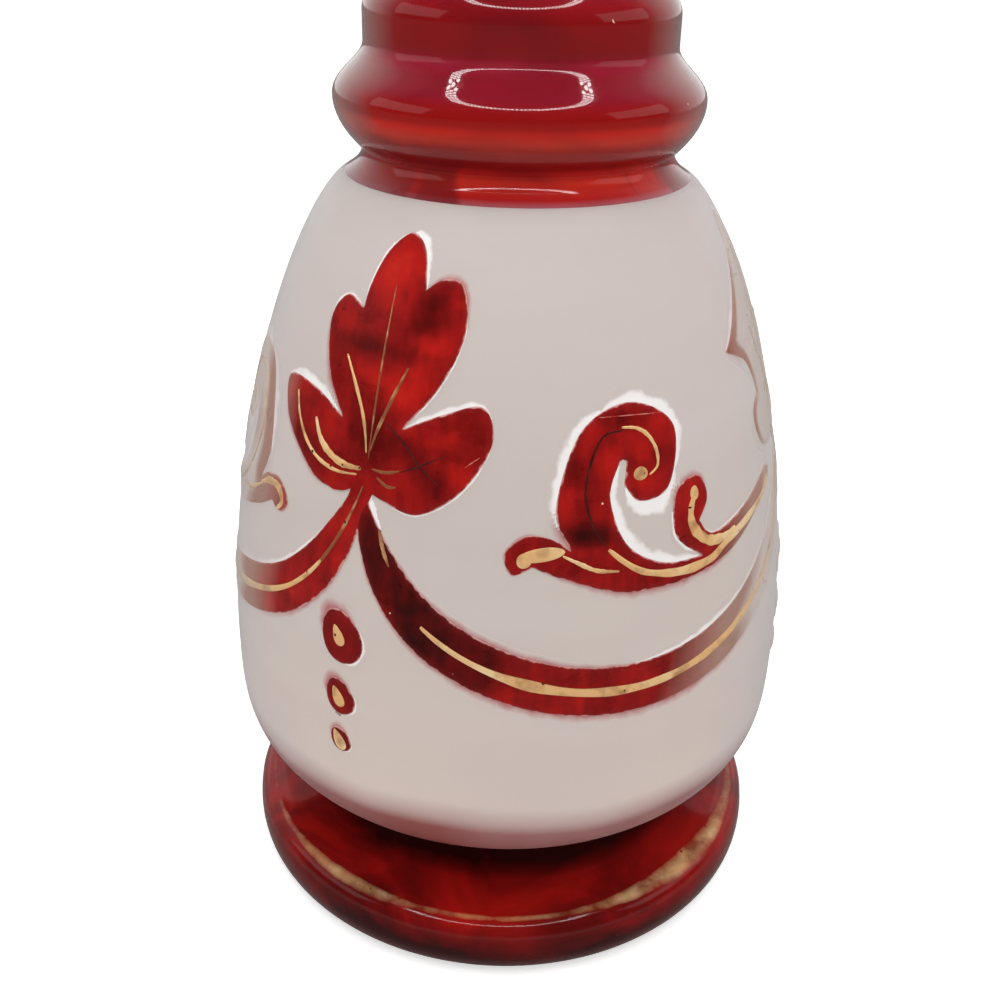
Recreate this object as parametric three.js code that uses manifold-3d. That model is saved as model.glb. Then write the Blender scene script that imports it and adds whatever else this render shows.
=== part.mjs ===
// A footed glass decanter with its stopper, in millimetres, +Z up.
// The origin is the middle of the face that the foot stands on.
// Azimuths turn about the axis from the front, which is -Y, towards +X.

import * as THREE from "three";
import { mergeVertices } from "three/addons/utils/BufferGeometryUtils.js";
import Module from "manifold-3d";

const wasm = await Module();
wasm.setup();

// Foot
const rimRadius = 44.6; // widest line of the rim
const rimHeight = 5.6; // height of that widest line
const restInset = 4.4; // from the widest line in to the edge of the face that the foot stands on
const footShoulderInset = 3.2; // from the widest line in to where the rim meets the top
const footShoulderRise = 4.9; // of that place above the widest line
const waistRadius = 27; // joint between foot and bulb
const waistRise = 5; // of the joint above the foot's shoulder
const footRise = { inwards: 1.15, upwards: 1.6 }; // how the hollow from shoulder to waist bends

// Bulb
const bellyRadius = 46;
const bellyRise = 26.5; // above the waist
const shoulderRadius = 25.4; // joint between bulb and neck
const bulbHeight = 102.3; // from the waist to the shoulder
const bulbWall = 3;
const bulbFloor = 5;
const floorRadius = 24; // flat part of the cavity's floor
const throatWall = 4.4; // glass at the joint between bulb and neck

// Neck
const grooveRadius = 22.8; // groove under the lowest ring
const grooveRise = 3.4; // above the shoulder
const firstRingRise = 10; // widest line of the lowest ring above the shoulder
const ringPitch = 11.7; // from one ring's widest line to the next
const ringRadii = [26.8, 22.3, 18.7, 15.3];
const ringShare = 0.6; // part of the pitch that a ring takes above its widest line
const grooveWall = 3.2;
const slimNeckRadius = 12.5;
const slimNeckLength = 15;
const lipFlare = 8; // height over which the neck widens to the lip
const lipRadius = 18.5;
const lipThickness = 2.5;

// Stopper and its ground seat
const seatMouthRadius = 9.8;
const seatRise = 1.5; // of the seat's lower end above the foot of the slim neck
const seatSlope = 1 / 20; // radius lost per millimetre of depth
const plugLength = 22;
const plugClearance = 0.3;
const collarRadius = 14;
const collarThickness = 3;
const stopperStemLength = 3;
const finialRadius = 16.5;
const finialHeight = 38;
const finialCut = 0.1; // part of the drop's height that the stem takes away
const finialTaper = { skew: 0.8, roundness: 0.9 }; // low widest line and a narrow tip

// Relief and gilding
const seatingGap = 0.3; // between a relief piece and what it lies on
const reliefThickness = 0.5;
const giltThickness = 0.3;
const bandStart = 35; // degrees up the foot's rounded rim where its gilt band starts
const leafAzimuths = [-31, 79, 214];

// Leaves: the stem is where a leaf meets the two swags that hang from it
const stemRise = 38.2; // above the belly
const leafHeight = 34.2;

// Swags: a strip hangs between two leaves
const swagSag = 24.4;
const swagMidWidth = 7.6;
const swagEndWidth = 2.6;
const swagSteepness = 0.35; // share of the sag that lies close to the ends
const stemGap = 0.8; // between a leaf and the ends of its swags
const stemOffset = 2.4; // arc from a leaf's axis to the end of a swag
const giltLineWidth = 1.8;
const giltLineEndWidth = 0.8;
const giltLineInset = 3; // arc left bare at each end of a swag

// Scrolls: each grows out of the leaf at one end of its festoon and opens towards the other
const scrollOpensTo = ["start", "start", "end"];
const hookArcs = [24.5, 44.6, 13.5]; // from that other leaf's axis to the scroll's hook
const scrollHeight = 25.5;
const scrollDrop = 10.7; // of a scroll's lowest line below the stems
const tailInset = 9.4; // arc between the tip of a scroll's tail and the axis of its leaf
const tailThickness = 5;

// Drops under each leaf, one below the other
const dropHeight = 9.7; // of the largest
const dropWidth = 8.1;
const dropScales = { large: 1, middle: 0.71, small: 0.51 };
const firstDropFall = 14.9; // from the stem to the top of the largest drop
const dropGap = 1.6;
const dropTaper = 0.38; // how much narrower a drop is at its top

// Fineness of the solids
const segments = 36;
const bulbSteps = { below: 6, above: 12 };
const cavitySteps = { below: 5, above: 8 };
const rimSteps = 4;
const ringSteps = 3;
const finialSteps = 11;
const stretchSteps = 6; // points on one smooth stretch of an outline
const stripSteps = 14;
const dropSteps = 10;

// Heights and radii that follow
const restRadius = rimRadius - restInset;
const footShoulderRadius = rimRadius - footShoulderInset;
const footShoulderHeight = rimHeight + footShoulderRise;
const waistHeight = footShoulderHeight + waistRise;
const bellyHeight = waistHeight + bellyRise;
const shoulderHeight = waistHeight + bulbHeight;
const stemHeight = bellyHeight + stemRise;
const throatRadius = shoulderRadius - throatWall;
const grooveHeight = shoulderHeight + grooveRise;
const lastRingHeight = shoulderHeight + firstRingRise + ringPitch * (ringRadii.length - 1);
const slimNeckHeight = lastRingHeight + ringPitch * ringShare;
const lipTop = slimNeckHeight + slimNeckLength + lipFlare + lipThickness;
const seatBottom = slimNeckHeight + seatRise;
const seatBottomRadius = seatMouthRadius - (lipTop - seatBottom) * seatSlope;

const ruby = { color: 0x7a0f12, roughness: 0.15, metalness: 0 };
const looks = {
  frosted_glass: { color: 0xcbbdb8, roughness: 0.6, metalness: 0 },
  ruby_glass: ruby,
  ruby_relief: { ...ruby, roughness: 0.25 },
  gilding: { color: 0xb98a57, roughness: 0.4, metalness: 0.9 },
  ground_glass: { color: 0xdcd8d2, roughness: 0.5, metalness: 0 },
};

// Evenly spread values from 0 to 1
function shares(count) {
  return Array.from({ length: count + 1 }, (_, i) => i / count);
}

// Falls from 1 at the widest line to 0 at the end of a swelling
function swell(share, sharpness, fullness) {
  return Math.max(0, 1 - share ** sharpness) ** fullness;
}

// Radius of an egg between its lower end, its belly and its upper end
function eggRadius(height, low, belly, high) {
  const end = height < belly.height ? low : high;
  const share = (height - belly.height) / (end.height - belly.height);
  return end.radius + (belly.radius - end.radius) * swell(share, end.sharpness, end.fullness);
}

function eggHeights(low, belly, high, steps) {
  const below = shares(steps.below).map((s) => low.height + (belly.height - low.height) * s ** 1.3);
  const above = shares(steps.above).map((s) => {
    return belly.height + (high.height - belly.height) * Math.sin((s * Math.PI) / 2);
  });
  return [...below, ...above.slice(1)];
}

const belly = { radius: bellyRadius, height: bellyHeight };
const bulbLow = { radius: waistRadius, height: waistHeight, sharpness: 4, fullness: 1.25 };
const bulbHigh = { radius: shoulderRadius, height: shoulderHeight, sharpness: 1.8, fullness: 0.71 };
const cavityBelly = { radius: bellyRadius - bulbWall, height: bellyHeight };
const cavityLow = { ...bulbLow, radius: floorRadius, height: waistHeight + bulbFloor };
const cavityHigh = { ...bulbHigh, radius: throatRadius };
const bulbHeights = eggHeights(bulbLow, belly, bulbHigh, bulbSteps);

function bulbRadius(height) {
  return eggRadius(height, bulbLow, belly, bulbHigh);
}

// Solid of revolution whose outline of [radius, height] pairs runs outside, upwards
function turned(outline) {
  const points = outline.map(([radius, height]) => new THREE.Vector2(radius, height));
  return new THREE.LatheGeometry(points, segments).rotateX(Math.PI / 2);
}

// Point on the foot's rounded rim, at an angle above its widest line
function rimPoint(degrees, offset) {
  const angle = THREE.MathUtils.degToRad(degrees);
  return [
    footShoulderRadius + (rimRadius - footShoulderRadius + offset) * Math.cos(angle),
    rimHeight + (footShoulderHeight - rimHeight + offset) * Math.sin(angle),
  ];
}

function foot() {
  const under = shares(rimSteps).map((s) => {
    const angle = (s * Math.PI) / 2;
    return [
      restRadius + (rimRadius - restRadius) * Math.sin(angle),
      rimHeight * (1 - Math.cos(angle)),
    ];
  });
  const over = shares(rimSteps).map((s) => rimPoint(90 * s, 0));
  const rise = shares(rimSteps).map((s) => [
    footShoulderRadius + (waistRadius - footShoulderRadius) * (1 - (1 - s) ** footRise.inwards),
    footShoulderHeight + (waistHeight - footShoulderHeight) * s ** footRise.upwards,
  ]);
  return turned([[0, 0], ...under, ...over.slice(1), ...rise.slice(1), [0, waistHeight]]);
}

function bulb() {
  const outside = bulbHeights.map((height) => [bulbRadius(height), height]);
  const inside = eggHeights(cavityLow, cavityBelly, cavityHigh, cavitySteps).map((height) => {
    return [eggRadius(height, cavityLow, cavityBelly, cavityHigh), height];
  });
  return turned([[0, waistHeight], ...outside, ...inside.reverse(), [0, cavityLow.height]]);
}

// Groove, then each ring: it rises to its widest line and rounds in to the step above it
function ringOutline() {
  const points = shares(ringSteps).map((s) => [
    grooveRadius + (shoulderRadius - grooveRadius) * (1 - s) ** 2,
    shoulderHeight + grooveRise * s,
  ]);
  let low = { radius: grooveRadius, height: grooveHeight };
  ringRadii.forEach((radius, i) => {
    const widest = shoulderHeight + firstRingRise + ringPitch * i;
    const stepRadius = i + 1 < ringRadii.length ? ringRadii[i + 1] : slimNeckRadius;
    const stepHeight = widest + ringPitch * ringShare;
    shares(ringSteps).slice(1).forEach((s) => {
      const rounding = 1 - (1 - s) ** 2;
      points.push([low.radius + (radius - low.radius) * rounding, low.height + (widest - low.height) * s]);
    });
    shares(ringSteps).slice(1).forEach((s) => {
      points.push([radius - (radius - stepRadius) * s ** 2, widest + (stepHeight - widest) * s]);
    });
    low = { radius: stepRadius, height: stepHeight };
  });
  return points;
}

// The rings, up to the lower end of the ground seat
function neck() {
  const bore = [
    [seatBottomRadius, seatBottom],
    [grooveRadius - grooveWall, grooveHeight],
    [throatRadius, shoulderHeight],
  ];
  const outline = [...ringOutline(), [slimNeckRadius, seatBottom], ...bore];
  return turned([...outline, outline[0]]);
}

// The slim neck round the seat, which flares to the lip
function mouth() {
  const flareStart = slimNeckHeight + slimNeckLength;
  const flare = shares(ringSteps).map((s) => [
    slimNeckRadius + (lipRadius - slimNeckRadius) * s ** 2,
    flareStart + lipFlare * s,
  ]);
  const outline = [[slimNeckRadius, seatBottom], ...flare, [lipRadius, lipTop]];
  const seat = [[seatMouthRadius, lipTop], [seatBottomRadius, seatBottom]];
  return turned([...outline, ...seat, outline[0]]);
}

// Plug in the ground seat, with the clearance all round
function plug() {
  const top = seatMouthRadius - plugClearance;
  const bottom = top - plugLength * seatSlope;
  return turned([
    [0, lipTop - plugLength],
    [bottom, lipTop - plugLength],
    [top, lipTop],
    [0, lipTop],
  ]);
}

// Collar that rests on the lip, a short stem and a drop that narrows to its tip
function finial() {
  const stemTop = lipTop + collarThickness + stopperStemLength;
  const dropRadius = (share) => {
    return finialRadius * Math.sin(Math.PI * share ** finialTaper.skew) ** finialTaper.roundness;
  };
  const drop = shares(finialSteps).map((s) => {
    const share = finialCut + (1 - finialCut) * s;
    return [s < 1 ? dropRadius(share) : 0, stemTop + finialHeight * s];
  });
  const stemRadius = dropRadius(finialCut);
  return turned([
    [0, lipTop],
    [collarRadius, lipTop],
    [collarRadius, lipTop + collarThickness],
    [stemRadius, lipTop + collarThickness],
    ...drop,
  ]);
}

// Thin ring round an upright edge
function edgeBand(radius, low, high) {
  const inside = radius + seatingGap;
  const outside = inside + giltThickness;
  return turned([
    [outside, low],
    [outside, high],
    [inside, high],
    [inside, low],
    [outside, low],
  ]);
}

function footBand() {
  const angles = shares(rimSteps).map((s) => bandStart + (90 - bandStart) * s);
  const outside = angles.map((angle) => rimPoint(angle, seatingGap + giltThickness));
  const inside = angles.map((angle) => rimPoint(angle, seatingGap)).reverse();
  return turned([...outside, ...inside, outside[0]]);
}

function toSolid(geometry) {
  const bare = geometry.clone();
  bare.deleteAttribute("normal");
  bare.deleteAttribute("uv");
  const merged = mergeVertices(bare, 1e-4);
  return new wasm.Manifold(
    new wasm.Mesh({
      numProp: 3,
      vertProperties: new Float32Array(merged.attributes.position.array),
      triVerts: new Uint32Array(merged.index.array),
    }),
  );
}

function toGeometry(solid) {
  const mesh = solid.getMesh();
  const geometry = new THREE.BufferGeometry();
  geometry.setAttribute("position", new THREE.BufferAttribute(mesh.vertProperties, mesh.numProp));
  geometry.setIndex(new THREE.BufferAttribute(mesh.triVerts, 1));
  geometry.computeVertexNormals();
  return geometry;
}

// Thin skin that follows the bulb at a distance
function skin(distance, thickness) {
  const inside = bulbHeights.map((height) => [bulbRadius(height) + distance, height]);
  const outside = inside.map(([radius, height]) => [radius + thickness, height]);
  return toSolid(turned([...outside, ...inside.reverse(), outside[0]]));
}

const reliefSkin = skin(seatingGap, reliefThickness);
const giltSkin = skin(seatingGap + reliefThickness + seatingGap, giltThickness);

// Relief piece: the part of a skin inside an outline of [arc, height] pairs.
// Arcs are counted at the belly from the azimuth given.
function relief(layer, outline, azimuth) {
  const arcs = outline.map(([arc]) => arc);
  const middle = (Math.min(...arcs) + Math.max(...arcs)) / 2;
  const points = outline.map(([arc, height]) => {
    return new THREE.Vector2(bulbRadius(height) * Math.sin((arc - middle) / bellyRadius), height);
  });
  const prism = new THREE.ExtrudeGeometry(new THREE.Shape(points), {
    depth: 2 * bellyRadius,
    bevelEnabled: false,
  });
  prism.rotateX(Math.PI / 2).rotateZ(THREE.MathUtils.degToRad(azimuth) + middle / bellyRadius);
  return toGeometry(layer.intersect(toSolid(prism)));
}

// Outline whose stretches are smooth and meet in corners
function lobed(stretches) {
  return stretches.flatMap((stretch, i) => {
    const next = stretches[(i + 1) % stretches.length][0];
    const curve = new THREE.SplineCurve([...stretch, next].map(([x, y]) => new THREE.Vector2(x, y)));
    return curve.getSpacedPoints(stretchSteps).slice(0, -1).map((p) => [p.x, p.y]);
  });
}

function mirrored(outline) {
  return outline.map(([arc, height]) => [-arc, height]).reverse();
}

// Outline given in hundredths of a height, at its real size
function scaled(outline, height, arc, low) {
  return outline.map(([x, y]) => [arc + (x * height) / 100, low + (y * height) / 100]);
}

// Five lobes, anticlockwise from the stem: arc from the leaf's axis and height above the stem,
// in hundredths of the leaf's height
const leafShape = lobed([
  [[-11, 2], [-1, 5], [7, 6]],
  [[16, 3], [33, 0], [52, 11], [65, 30], [60, 43], [41, 39]],
  [[23, 32], [39, 49], [49, 68], [46, 84], [34, 86]],
  [[25, 82], [20, 95], [8, 100], [-4, 93], [-10, 81]],
  [[-11, 72], [-24, 75], [-32, 66], [-25, 47]],
  [[-11, 31], [-31, 38], [-55, 38], [-50, 23], [-28, 8]],
]);
const leafOutline = scaled(leafShape, leafHeight, 0, stemHeight);

// Hook, volute, curl and tail, clockwise: arc from the hook's outer edge and height above the
// lowest line, in hundredths of the scroll's height
function scrollOutline(span, hookArc) {
  const tip = (100 * (span - tailInset - hookArc)) / scrollHeight;
  const thickness = (100 * tailThickness) / scrollHeight;
  const shape = lobed([
    [[16, 19], [4, 15], [0, 27], [12, 36], [27, 34]],
    [[37, 28], [29, 51], [45, 88], [78, 100], [109, 85], [102, 54], [81, 49]],
    [[71, 59], [73, 71]],
    [[69, 71], [62, 53], [72, 27], [96, 13]],
    [[124, 10], [105, 26], [107, 50], [125, 55], [132, 42]],
    [[124, 30], [136, 20], [tip - 2.2 * thickness, 26]],
    [[tip, 40], [tip - 1.3 * thickness, 19], [139, 2], [77, 0], [42, 9]],
  ]);
  const low = stemHeight - scrollDrop;
  return scaled(shape, scrollHeight, hookArc, low).reverse();
}

// Strip of varying width along a line of [arc, height, width], with square ends
function strip(line) {
  const sides = line.map(([arc, height, width], i) => {
    const before = line[Math.max(0, i - 1)];
    const after = line[Math.min(line.length - 1, i + 1)];
    const slope = new THREE.Vector2(after[0] - before[0], after[1] - before[1]).normalize();
    const across = [(-slope.y * width) / 2, (slope.x * width) / 2];
    return { low: [arc - across[0], height - across[1]], high: [arc + across[0], height + across[1]] };
  });
  return [...sides.map((side) => side.low), ...sides.map((side) => side.high).reverse()];
}

// Hanging line between two leaves: flat in the middle and steep at the ends
function swagLine(span, inset, widthAt) {
  const reach = span / 2 - stemOffset;
  return shares(stripSteps).map((s) => {
    const side = (2 * s - 1) * (1 - inset / reach);
    const rise = (1 - swagSteepness) * side ** 2 + swagSteepness * side ** 8;
    return [span / 2 + side * reach, stemHeight - stemGap - swagSag * (1 - rise), widthAt(Math.abs(side))];
  });
}

function swagOutline(span) {
  const widthAt = (side) => swagEndWidth + (swagMidWidth - swagEndWidth) * (1 - side ** 3);
  return strip(swagLine(span, 0, widthAt));
}

function giltLineOutline(span) {
  const widthAt = (side) => giltLineWidth + (giltLineEndWidth - giltLineWidth) * side ** 4;
  return strip(swagLine(span, giltLineInset, widthAt));
}

// Drop that narrows to its top
function dropOutline(top, scale) {
  const middle = top - (dropHeight * scale) / 2;
  return shares(dropSteps).slice(0, -1).map((s) => {
    const angle = 2 * Math.PI * s + Math.PI / 2;
    const taper = 1 - dropTaper - dropTaper * Math.sin(angle);
    return [
      (dropWidth * scale * taper * Math.cos(angle)) / 2,
      middle + (dropHeight * scale * Math.sin(angle)) / 2,
    ];
  });
}

const decanter = new THREE.Group();

function addPiece(name, look, geometry) {
  const mesh = new THREE.Mesh(geometry, new THREE.MeshStandardMaterial(looks[look]));
  mesh.name = name;
  decanter.add(mesh);
}

addPiece("foot", "ruby_glass", foot());
addPiece("body", "frosted_glass", bulb());
addPiece("neck", "ruby_glass", neck());
addPiece("mouth", "ruby_glass", mouth());
addPiece("foot_gilt_band", "gilding", footBand());
addPiece("lip_gilt_band", "gilding", edgeBand(lipRadius, lipTop - lipThickness, lipTop));

leafAzimuths.forEach((azimuth, i) => {
  const number = i + 1;
  const next = leafAzimuths[number % leafAzimuths.length];
  const span = THREE.MathUtils.degToRad(THREE.MathUtils.euclideanModulo(next - azimuth, 360)) * bellyRadius;
  const leaf = i % 2 === 0 ? leafOutline : mirrored(leafOutline);
  addPiece(`leaf_${number}`, "ruby_relief", relief(reliefSkin, leaf, azimuth));
  addPiece(`swag_${number}`, "ruby_relief", relief(reliefSkin, swagOutline(span), azimuth));
  addPiece(`swag_gilt_${number}`, "gilding", relief(giltSkin, giltLineOutline(span), azimuth));
  const scroll = scrollOutline(span, hookArcs[i]);
  const opensToStart = scrollOpensTo[i] === "start";
  const scrollGeometry = relief(
    reliefSkin,
    opensToStart ? scroll : mirrored(scroll),
    opensToStart ? azimuth : next,
  );
  addPiece(`scroll_${number}`, "ruby_relief", scrollGeometry);
  let top = stemHeight - firstDropFall;
  Object.entries(dropScales).forEach(([size, scale]) => {
    addPiece(`drop_${number}_${size}`, "ruby_relief", relief(reliefSkin, dropOutline(top, scale), azimuth));
    top -= dropHeight * scale + dropGap;
  });
});

addPiece("stopper_plug", "ground_glass", plug());
addPiece("stopper_finial", "ruby_glass", finial());
addPiece(
  "stopper_gilt_band",
  "gilding",
  edgeBand(collarRadius, lipTop, lipTop + collarThickness),
);

export default decanter;
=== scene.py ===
"""Looks of a footed glass decanter and its stopper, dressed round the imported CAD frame.

Everything is in metres. Azimuths turn about the axis from the front, which is -Y, towards +X.
A place on the bulb is an arc, counted at the belly from an azimuth, and a height.
"""

import bpy
import numpy as np
from mathutils import Matrix, Vector
from mathutils.geometry import delaunay_2d_cdt


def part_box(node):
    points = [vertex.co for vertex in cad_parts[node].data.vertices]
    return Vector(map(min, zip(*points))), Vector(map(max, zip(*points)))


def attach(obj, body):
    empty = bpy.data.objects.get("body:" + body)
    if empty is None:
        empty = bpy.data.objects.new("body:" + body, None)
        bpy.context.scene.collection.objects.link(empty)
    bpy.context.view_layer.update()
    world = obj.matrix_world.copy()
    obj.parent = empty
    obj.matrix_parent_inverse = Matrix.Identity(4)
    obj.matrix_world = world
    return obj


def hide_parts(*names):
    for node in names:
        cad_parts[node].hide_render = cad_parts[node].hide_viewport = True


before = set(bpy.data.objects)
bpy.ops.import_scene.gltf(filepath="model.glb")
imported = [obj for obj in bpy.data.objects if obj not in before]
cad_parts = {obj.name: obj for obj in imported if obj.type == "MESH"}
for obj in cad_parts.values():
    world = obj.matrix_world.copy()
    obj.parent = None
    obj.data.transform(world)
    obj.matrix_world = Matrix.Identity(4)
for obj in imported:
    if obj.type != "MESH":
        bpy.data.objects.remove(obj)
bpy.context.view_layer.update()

bl_info = {
    "name": "Footed decanter",
    "version": (1, 0, 0),
    "blender": (4, 5, 0),
    "location": "3D View > Sidebar > Decanter",
    "description": "Dresses a footed glass decanter with frosting, ruby relief and gilding",
    "category": "Object",
}

MM = 0.001
LEAF_AZIMUTHS = np.radians([-31, 79, 214])
VESSEL = "vessel"
STOPPER = "stopper"

# Where the backs of relief and gilding lie in the glass, and the rounded edge of a ruby pane
BURIED = -0.1 * MM
PANE_EDGE = 0.55 * MM

# How near a join a pane is still at its full height, where etching starts under the ruby, and how
# far the etched glass stands out
JOIN_REACH = 1.4 * MM
ETCH_TUCK = 0.25 * MM
ETCH_LIFT = 0.03 * MM

# An edge this sharp stays sharp in the shading
CREASE = np.radians(40)

# How sharply and how fully the bulb swells below its belly and above it
SWELL_BELOW = (4, 1.25)
SWELL_ABOVE = (1.8, 0.71)

# How much higher than the rest the lowest ring's widest line is set, and the glass at the groove
FIRST_RING_LIFT = 0.6 * MM
GROOVE_WALL = 3.2 * MM

# How much of the height above the belly the bulb's normal leans by, and the pale sheen of its ruby
BULB_LEAN = 0.235
SHEEN = (0.56, 0.49, 0.46)

# Count and radius of each row of small lamps in the ring, and how far before the decanter and how
# high the ring hangs
LAMP_ROWS = ((74, 0.145), (70, 0.1365), (66, 0.128))
RING_FORWARD = 0.09
RING_HEIGHT = 0.375

# How far round from the front, how far out and how high the side lights stand
SIDE_TURN = np.radians(78)
SIDE_REACH = 0.5
SIDE_HEIGHT = 0.3

# What all lamps face, and half the floor's side
LIT_MIDDLE = Vector((0, 0, 0.08))
FLOOR_HALF = 6.0

# Outline of a leaf, anticlockwise from its stem: arc from its axis and height above the stem,
# in hundredths of the leaf's height. Stretches are smooth and meet in corners.
LEAF_OUTLINE = [
    [[-4, 3], [1, 5], [7, 6]],
    [[16, 3], [33, 0], [52, 11], [65, 30], [60, 43], [41, 39]],
    [[23, 32], [39, 49], [49, 68], [46, 84], [34, 86]],
    [[25, 82], [20, 95], [8, 100], [-4, 93], [-10, 81]],
    [[-11, 72], [-24, 75], [-32, 66], [-25, 47]],
    [[-11, 31], [-31, 38], [-55, 38], [-50, 23], [-32, 9.5], [-21, 3.5], [-11, 2]],
]

# The second leaf is cut with a straight upper edge that runs out to a point
SIDE_LEAF_OUTLINE = [
    [[-7, 6], [1, 5], [11, 2]],
    [[28, 8], [50, 23], [55, 38], [31, 38]],
    [[11, 31], [25, 47], [32, 66], [24, 75]],
    [[11, 72], [10, 81], [5, 92], [-4, 99], [-13, 96]],
    [[-17, 87], [-28, 76], [-41, 64], [-51, 56]],
    [[-59, 51], [-40, 44], [-33, 36]],
    [[-30, 28], [-39, 22], [-38, 12], [-28, 4]],
]

# Lines on a leaf in the same units: points, width in the middle, and what they are made of
LEAF_LINES = {
    "vein_middle": ([[7, 82], [7.4, 65], [7.3, 41], [7.2, 18]], 1.0, "worn"),
    "vein_left": ([[-14, 54], [-6, 44.6], [0.6, 35], [4, 27], [5.8, 20]], 1.7, "gold"),
    "vein_right": ([[22, 54], [17.4, 45.5], [13.4, 37], [10, 29], [7.6, 21]], 1.7, "rubbed"),
    "lobe_outer": ([[-44, 34], [-40, 26], [-32, 17.5], [-22, 12], [-10, 9.8], [2, 10.8]], 1.7, "gold"),
    "lobe_inner": ([[-27, 27], [-22, 20], [-14.5, 15.4], [-6, 13.2], [4, 13.4]], 3.0, "gold"),
    "streak": ([[7.4, 5.6], [9.4, 2.3], [11.8, -3.2], [15, -9.7], [17.4, -13.4]], 5.0, "bare"),
}

# Rubs, cracks and scratches of the first leaf
LEAF_WEAR = {
    "rubbed_upper": ([[9.6, 14.4], [16.2, 14.2], [23.4, 15.8]], 1.3, "worn"),
    "rubbed_lower": ([[12.7, 11.6], [18, 9.1], [22.4, 9.4]], 1.3, "worn"),
    "stem_rub": ([[16.2, -8.5], [17.6, -13], [19.6, -18], [22, -22.5]], 1.8, "rubbed"),
    "crack_long": (
        [[13.8, 32.9], [21.7, 28.4], [28.6, 22.8], [32.7, 18.6], [37.7, 15.4], [41.4, 13]], 1.0, "dark"
    ),
    "crack_short": ([[23.5, 15.4], [32.7, 19.1], [39.4, 22.2], [42.7, 24]], 0.7, "dark"),
    "scratch": ([[53.2, 20.7], [59.6, 24.8]], 0.5, "pale"),
}

# Dark and bright patches in the glass: arc, height, half sizes, and tone from -1.5 to 1
LEAF_PATCHES = [
    [30, 74, 10, 9, -0.95],
    [22, 66, 9, 6, -0.5],
    [-4, 60, 16, 3, -0.9],
    [8, 57, 20, 3, -0.5],
    [24, 58, 12, 3, -0.5],
    [-20, 56, 7, 8, -0.5],
    [4, 48, 8, 4, 0.6],
    [33, 63, 11, 4, 0.6],
    [26, 44, 12, 6, 0.7],
    [6, 88, 13, 13, 0.75],
    [-22, 66, 7, 5, 0.45],
    [14, 37, 9, 5, -0.4],
    [10, 26, 12, 9, -0.8],
    [-2, 33, 6, 9, -0.4],
    [30, 21, 6, 7, -0.85],
    [40, 13, 8, 5, -0.85],
    [24, 31, 5, 3, 0.7],
    [52, 17, 9, 6, 0.8],
    [40, 32, 12, 5, 0.45],
    [-38, 24, 12, 14, -0.6],
    [-26, 14, 12, 8, -0.4],
    [-16, 17, 6, 6, 0.35],
    [58, 36, 7, 8, -0.3],
]

# Hook, volute and curl of a scroll, clockwise: arc from the hook's outer edge and height above the
# lowest line, in hundredths of the scroll's height. The tail that closes it follows the span.
SCROLL_OUTLINE = [
    [[16, 19], [4, 15], [0, 27], [12, 36], [27, 34]],
    [[37, 28], [29, 51], [45, 88], [78, 100], [109, 85], [102, 54], [81, 49]],
    [[71, 59], [73, 71]],
    [[69, 71], [62, 53], [72, 27], [96, 13]],
    [[124, 10], [105, 26], [107, 50], [125, 55], [132, 42]],
]
# The hook of the third scroll is cut rounder, and a gold line follows it
ROUND_HOOK = [[18, 20.5], [11, 17.5], [4, 18.5], [0, 26], [11, 35], [27, 34]]
ROUND_HOOK_LINE = [[10, 18.5], [5.5, 24], [11, 30.5], [23, 30.5], [34, 25.5]]

# Lines on a scroll as on a leaf
SCROLL_LINES = {
    "volute": ([[71, 88], [81, 86.7], [89, 82], [94, 74], [94, 66], [88, 62]], 2.2, "gold"),
    "hook_tail": ([[33, 25], [43, 20], [53, 15.5], [66, 13.5]], 2.4, "gold"),
    "curl": (
        [[122, 47.5], [117.5, 39], [117, 31], [122, 23], [132, 16.5], [146, 15], [156, 17]], 6.0, "gold"
    ),
    "vein": (
        [[71.9, 86.6], [60.1, 85.2], [53.3, 78.3], [49, 68.6],
         [46.4, 57.3], [48.4, 45.5], [53.5, 34.5], [58, 28.7]], 1.5, "dark"
    ),
    "scratch": ([[56.6, 94.1], [77.8, 93.5], [99.8, 92.2]], 0.5, "pale"),
}
SCROLL_BASE_LINE = [[60, 26], [69, 18.5], [80, 11.5], [92, 7.8], [105, 5.6], [119, 5], [134, 6.4], [149, 12]]
SCROLL_PATCHES = [
    [40, 70, 5, 8, -0.7],
    [52, 34, 16, 6, -1.0],
    [46, 37, 13, 6, -0.9],
    [66, 92, 10, 5, -0.7],
    [100, 70, 6, 6, -0.5],
    [62, 70, 8, 10, 0.5],
    [36, 52, 6, 10, 0.5],
    [85, 74, 6, 5, 0.5],
    [78, 53, 5, 6, -0.3],
    [97, 88, 8, 6, 0.3],
]

# Gold spots on a scroll: arc, height, width and height of the spot, and its tilt
SCROLL_BLOBS = {
    "eye": (82, 63.5, (10, 7), 0.0),
    "hook": (21, 26, (28, 7.5), 0.12),
    "hook_end": (11, 23, (9, 8), 0.4),
    "curl_end": (120.5, 46, (7, 8), 0.0),
}

# The leaf that each scroll's hook lies nearer to, and how far from its axis, in millimetres
SCROLL_SIDES = [("start", 24.5), ("start", 44.6), ("end", 13.5)]

# How far from the next leaf's axis a scroll's tail ends, and how far its end slants
TAIL_ROOM = 9.4 * MM
TAIL_SLANT = 5 * MM

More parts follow.
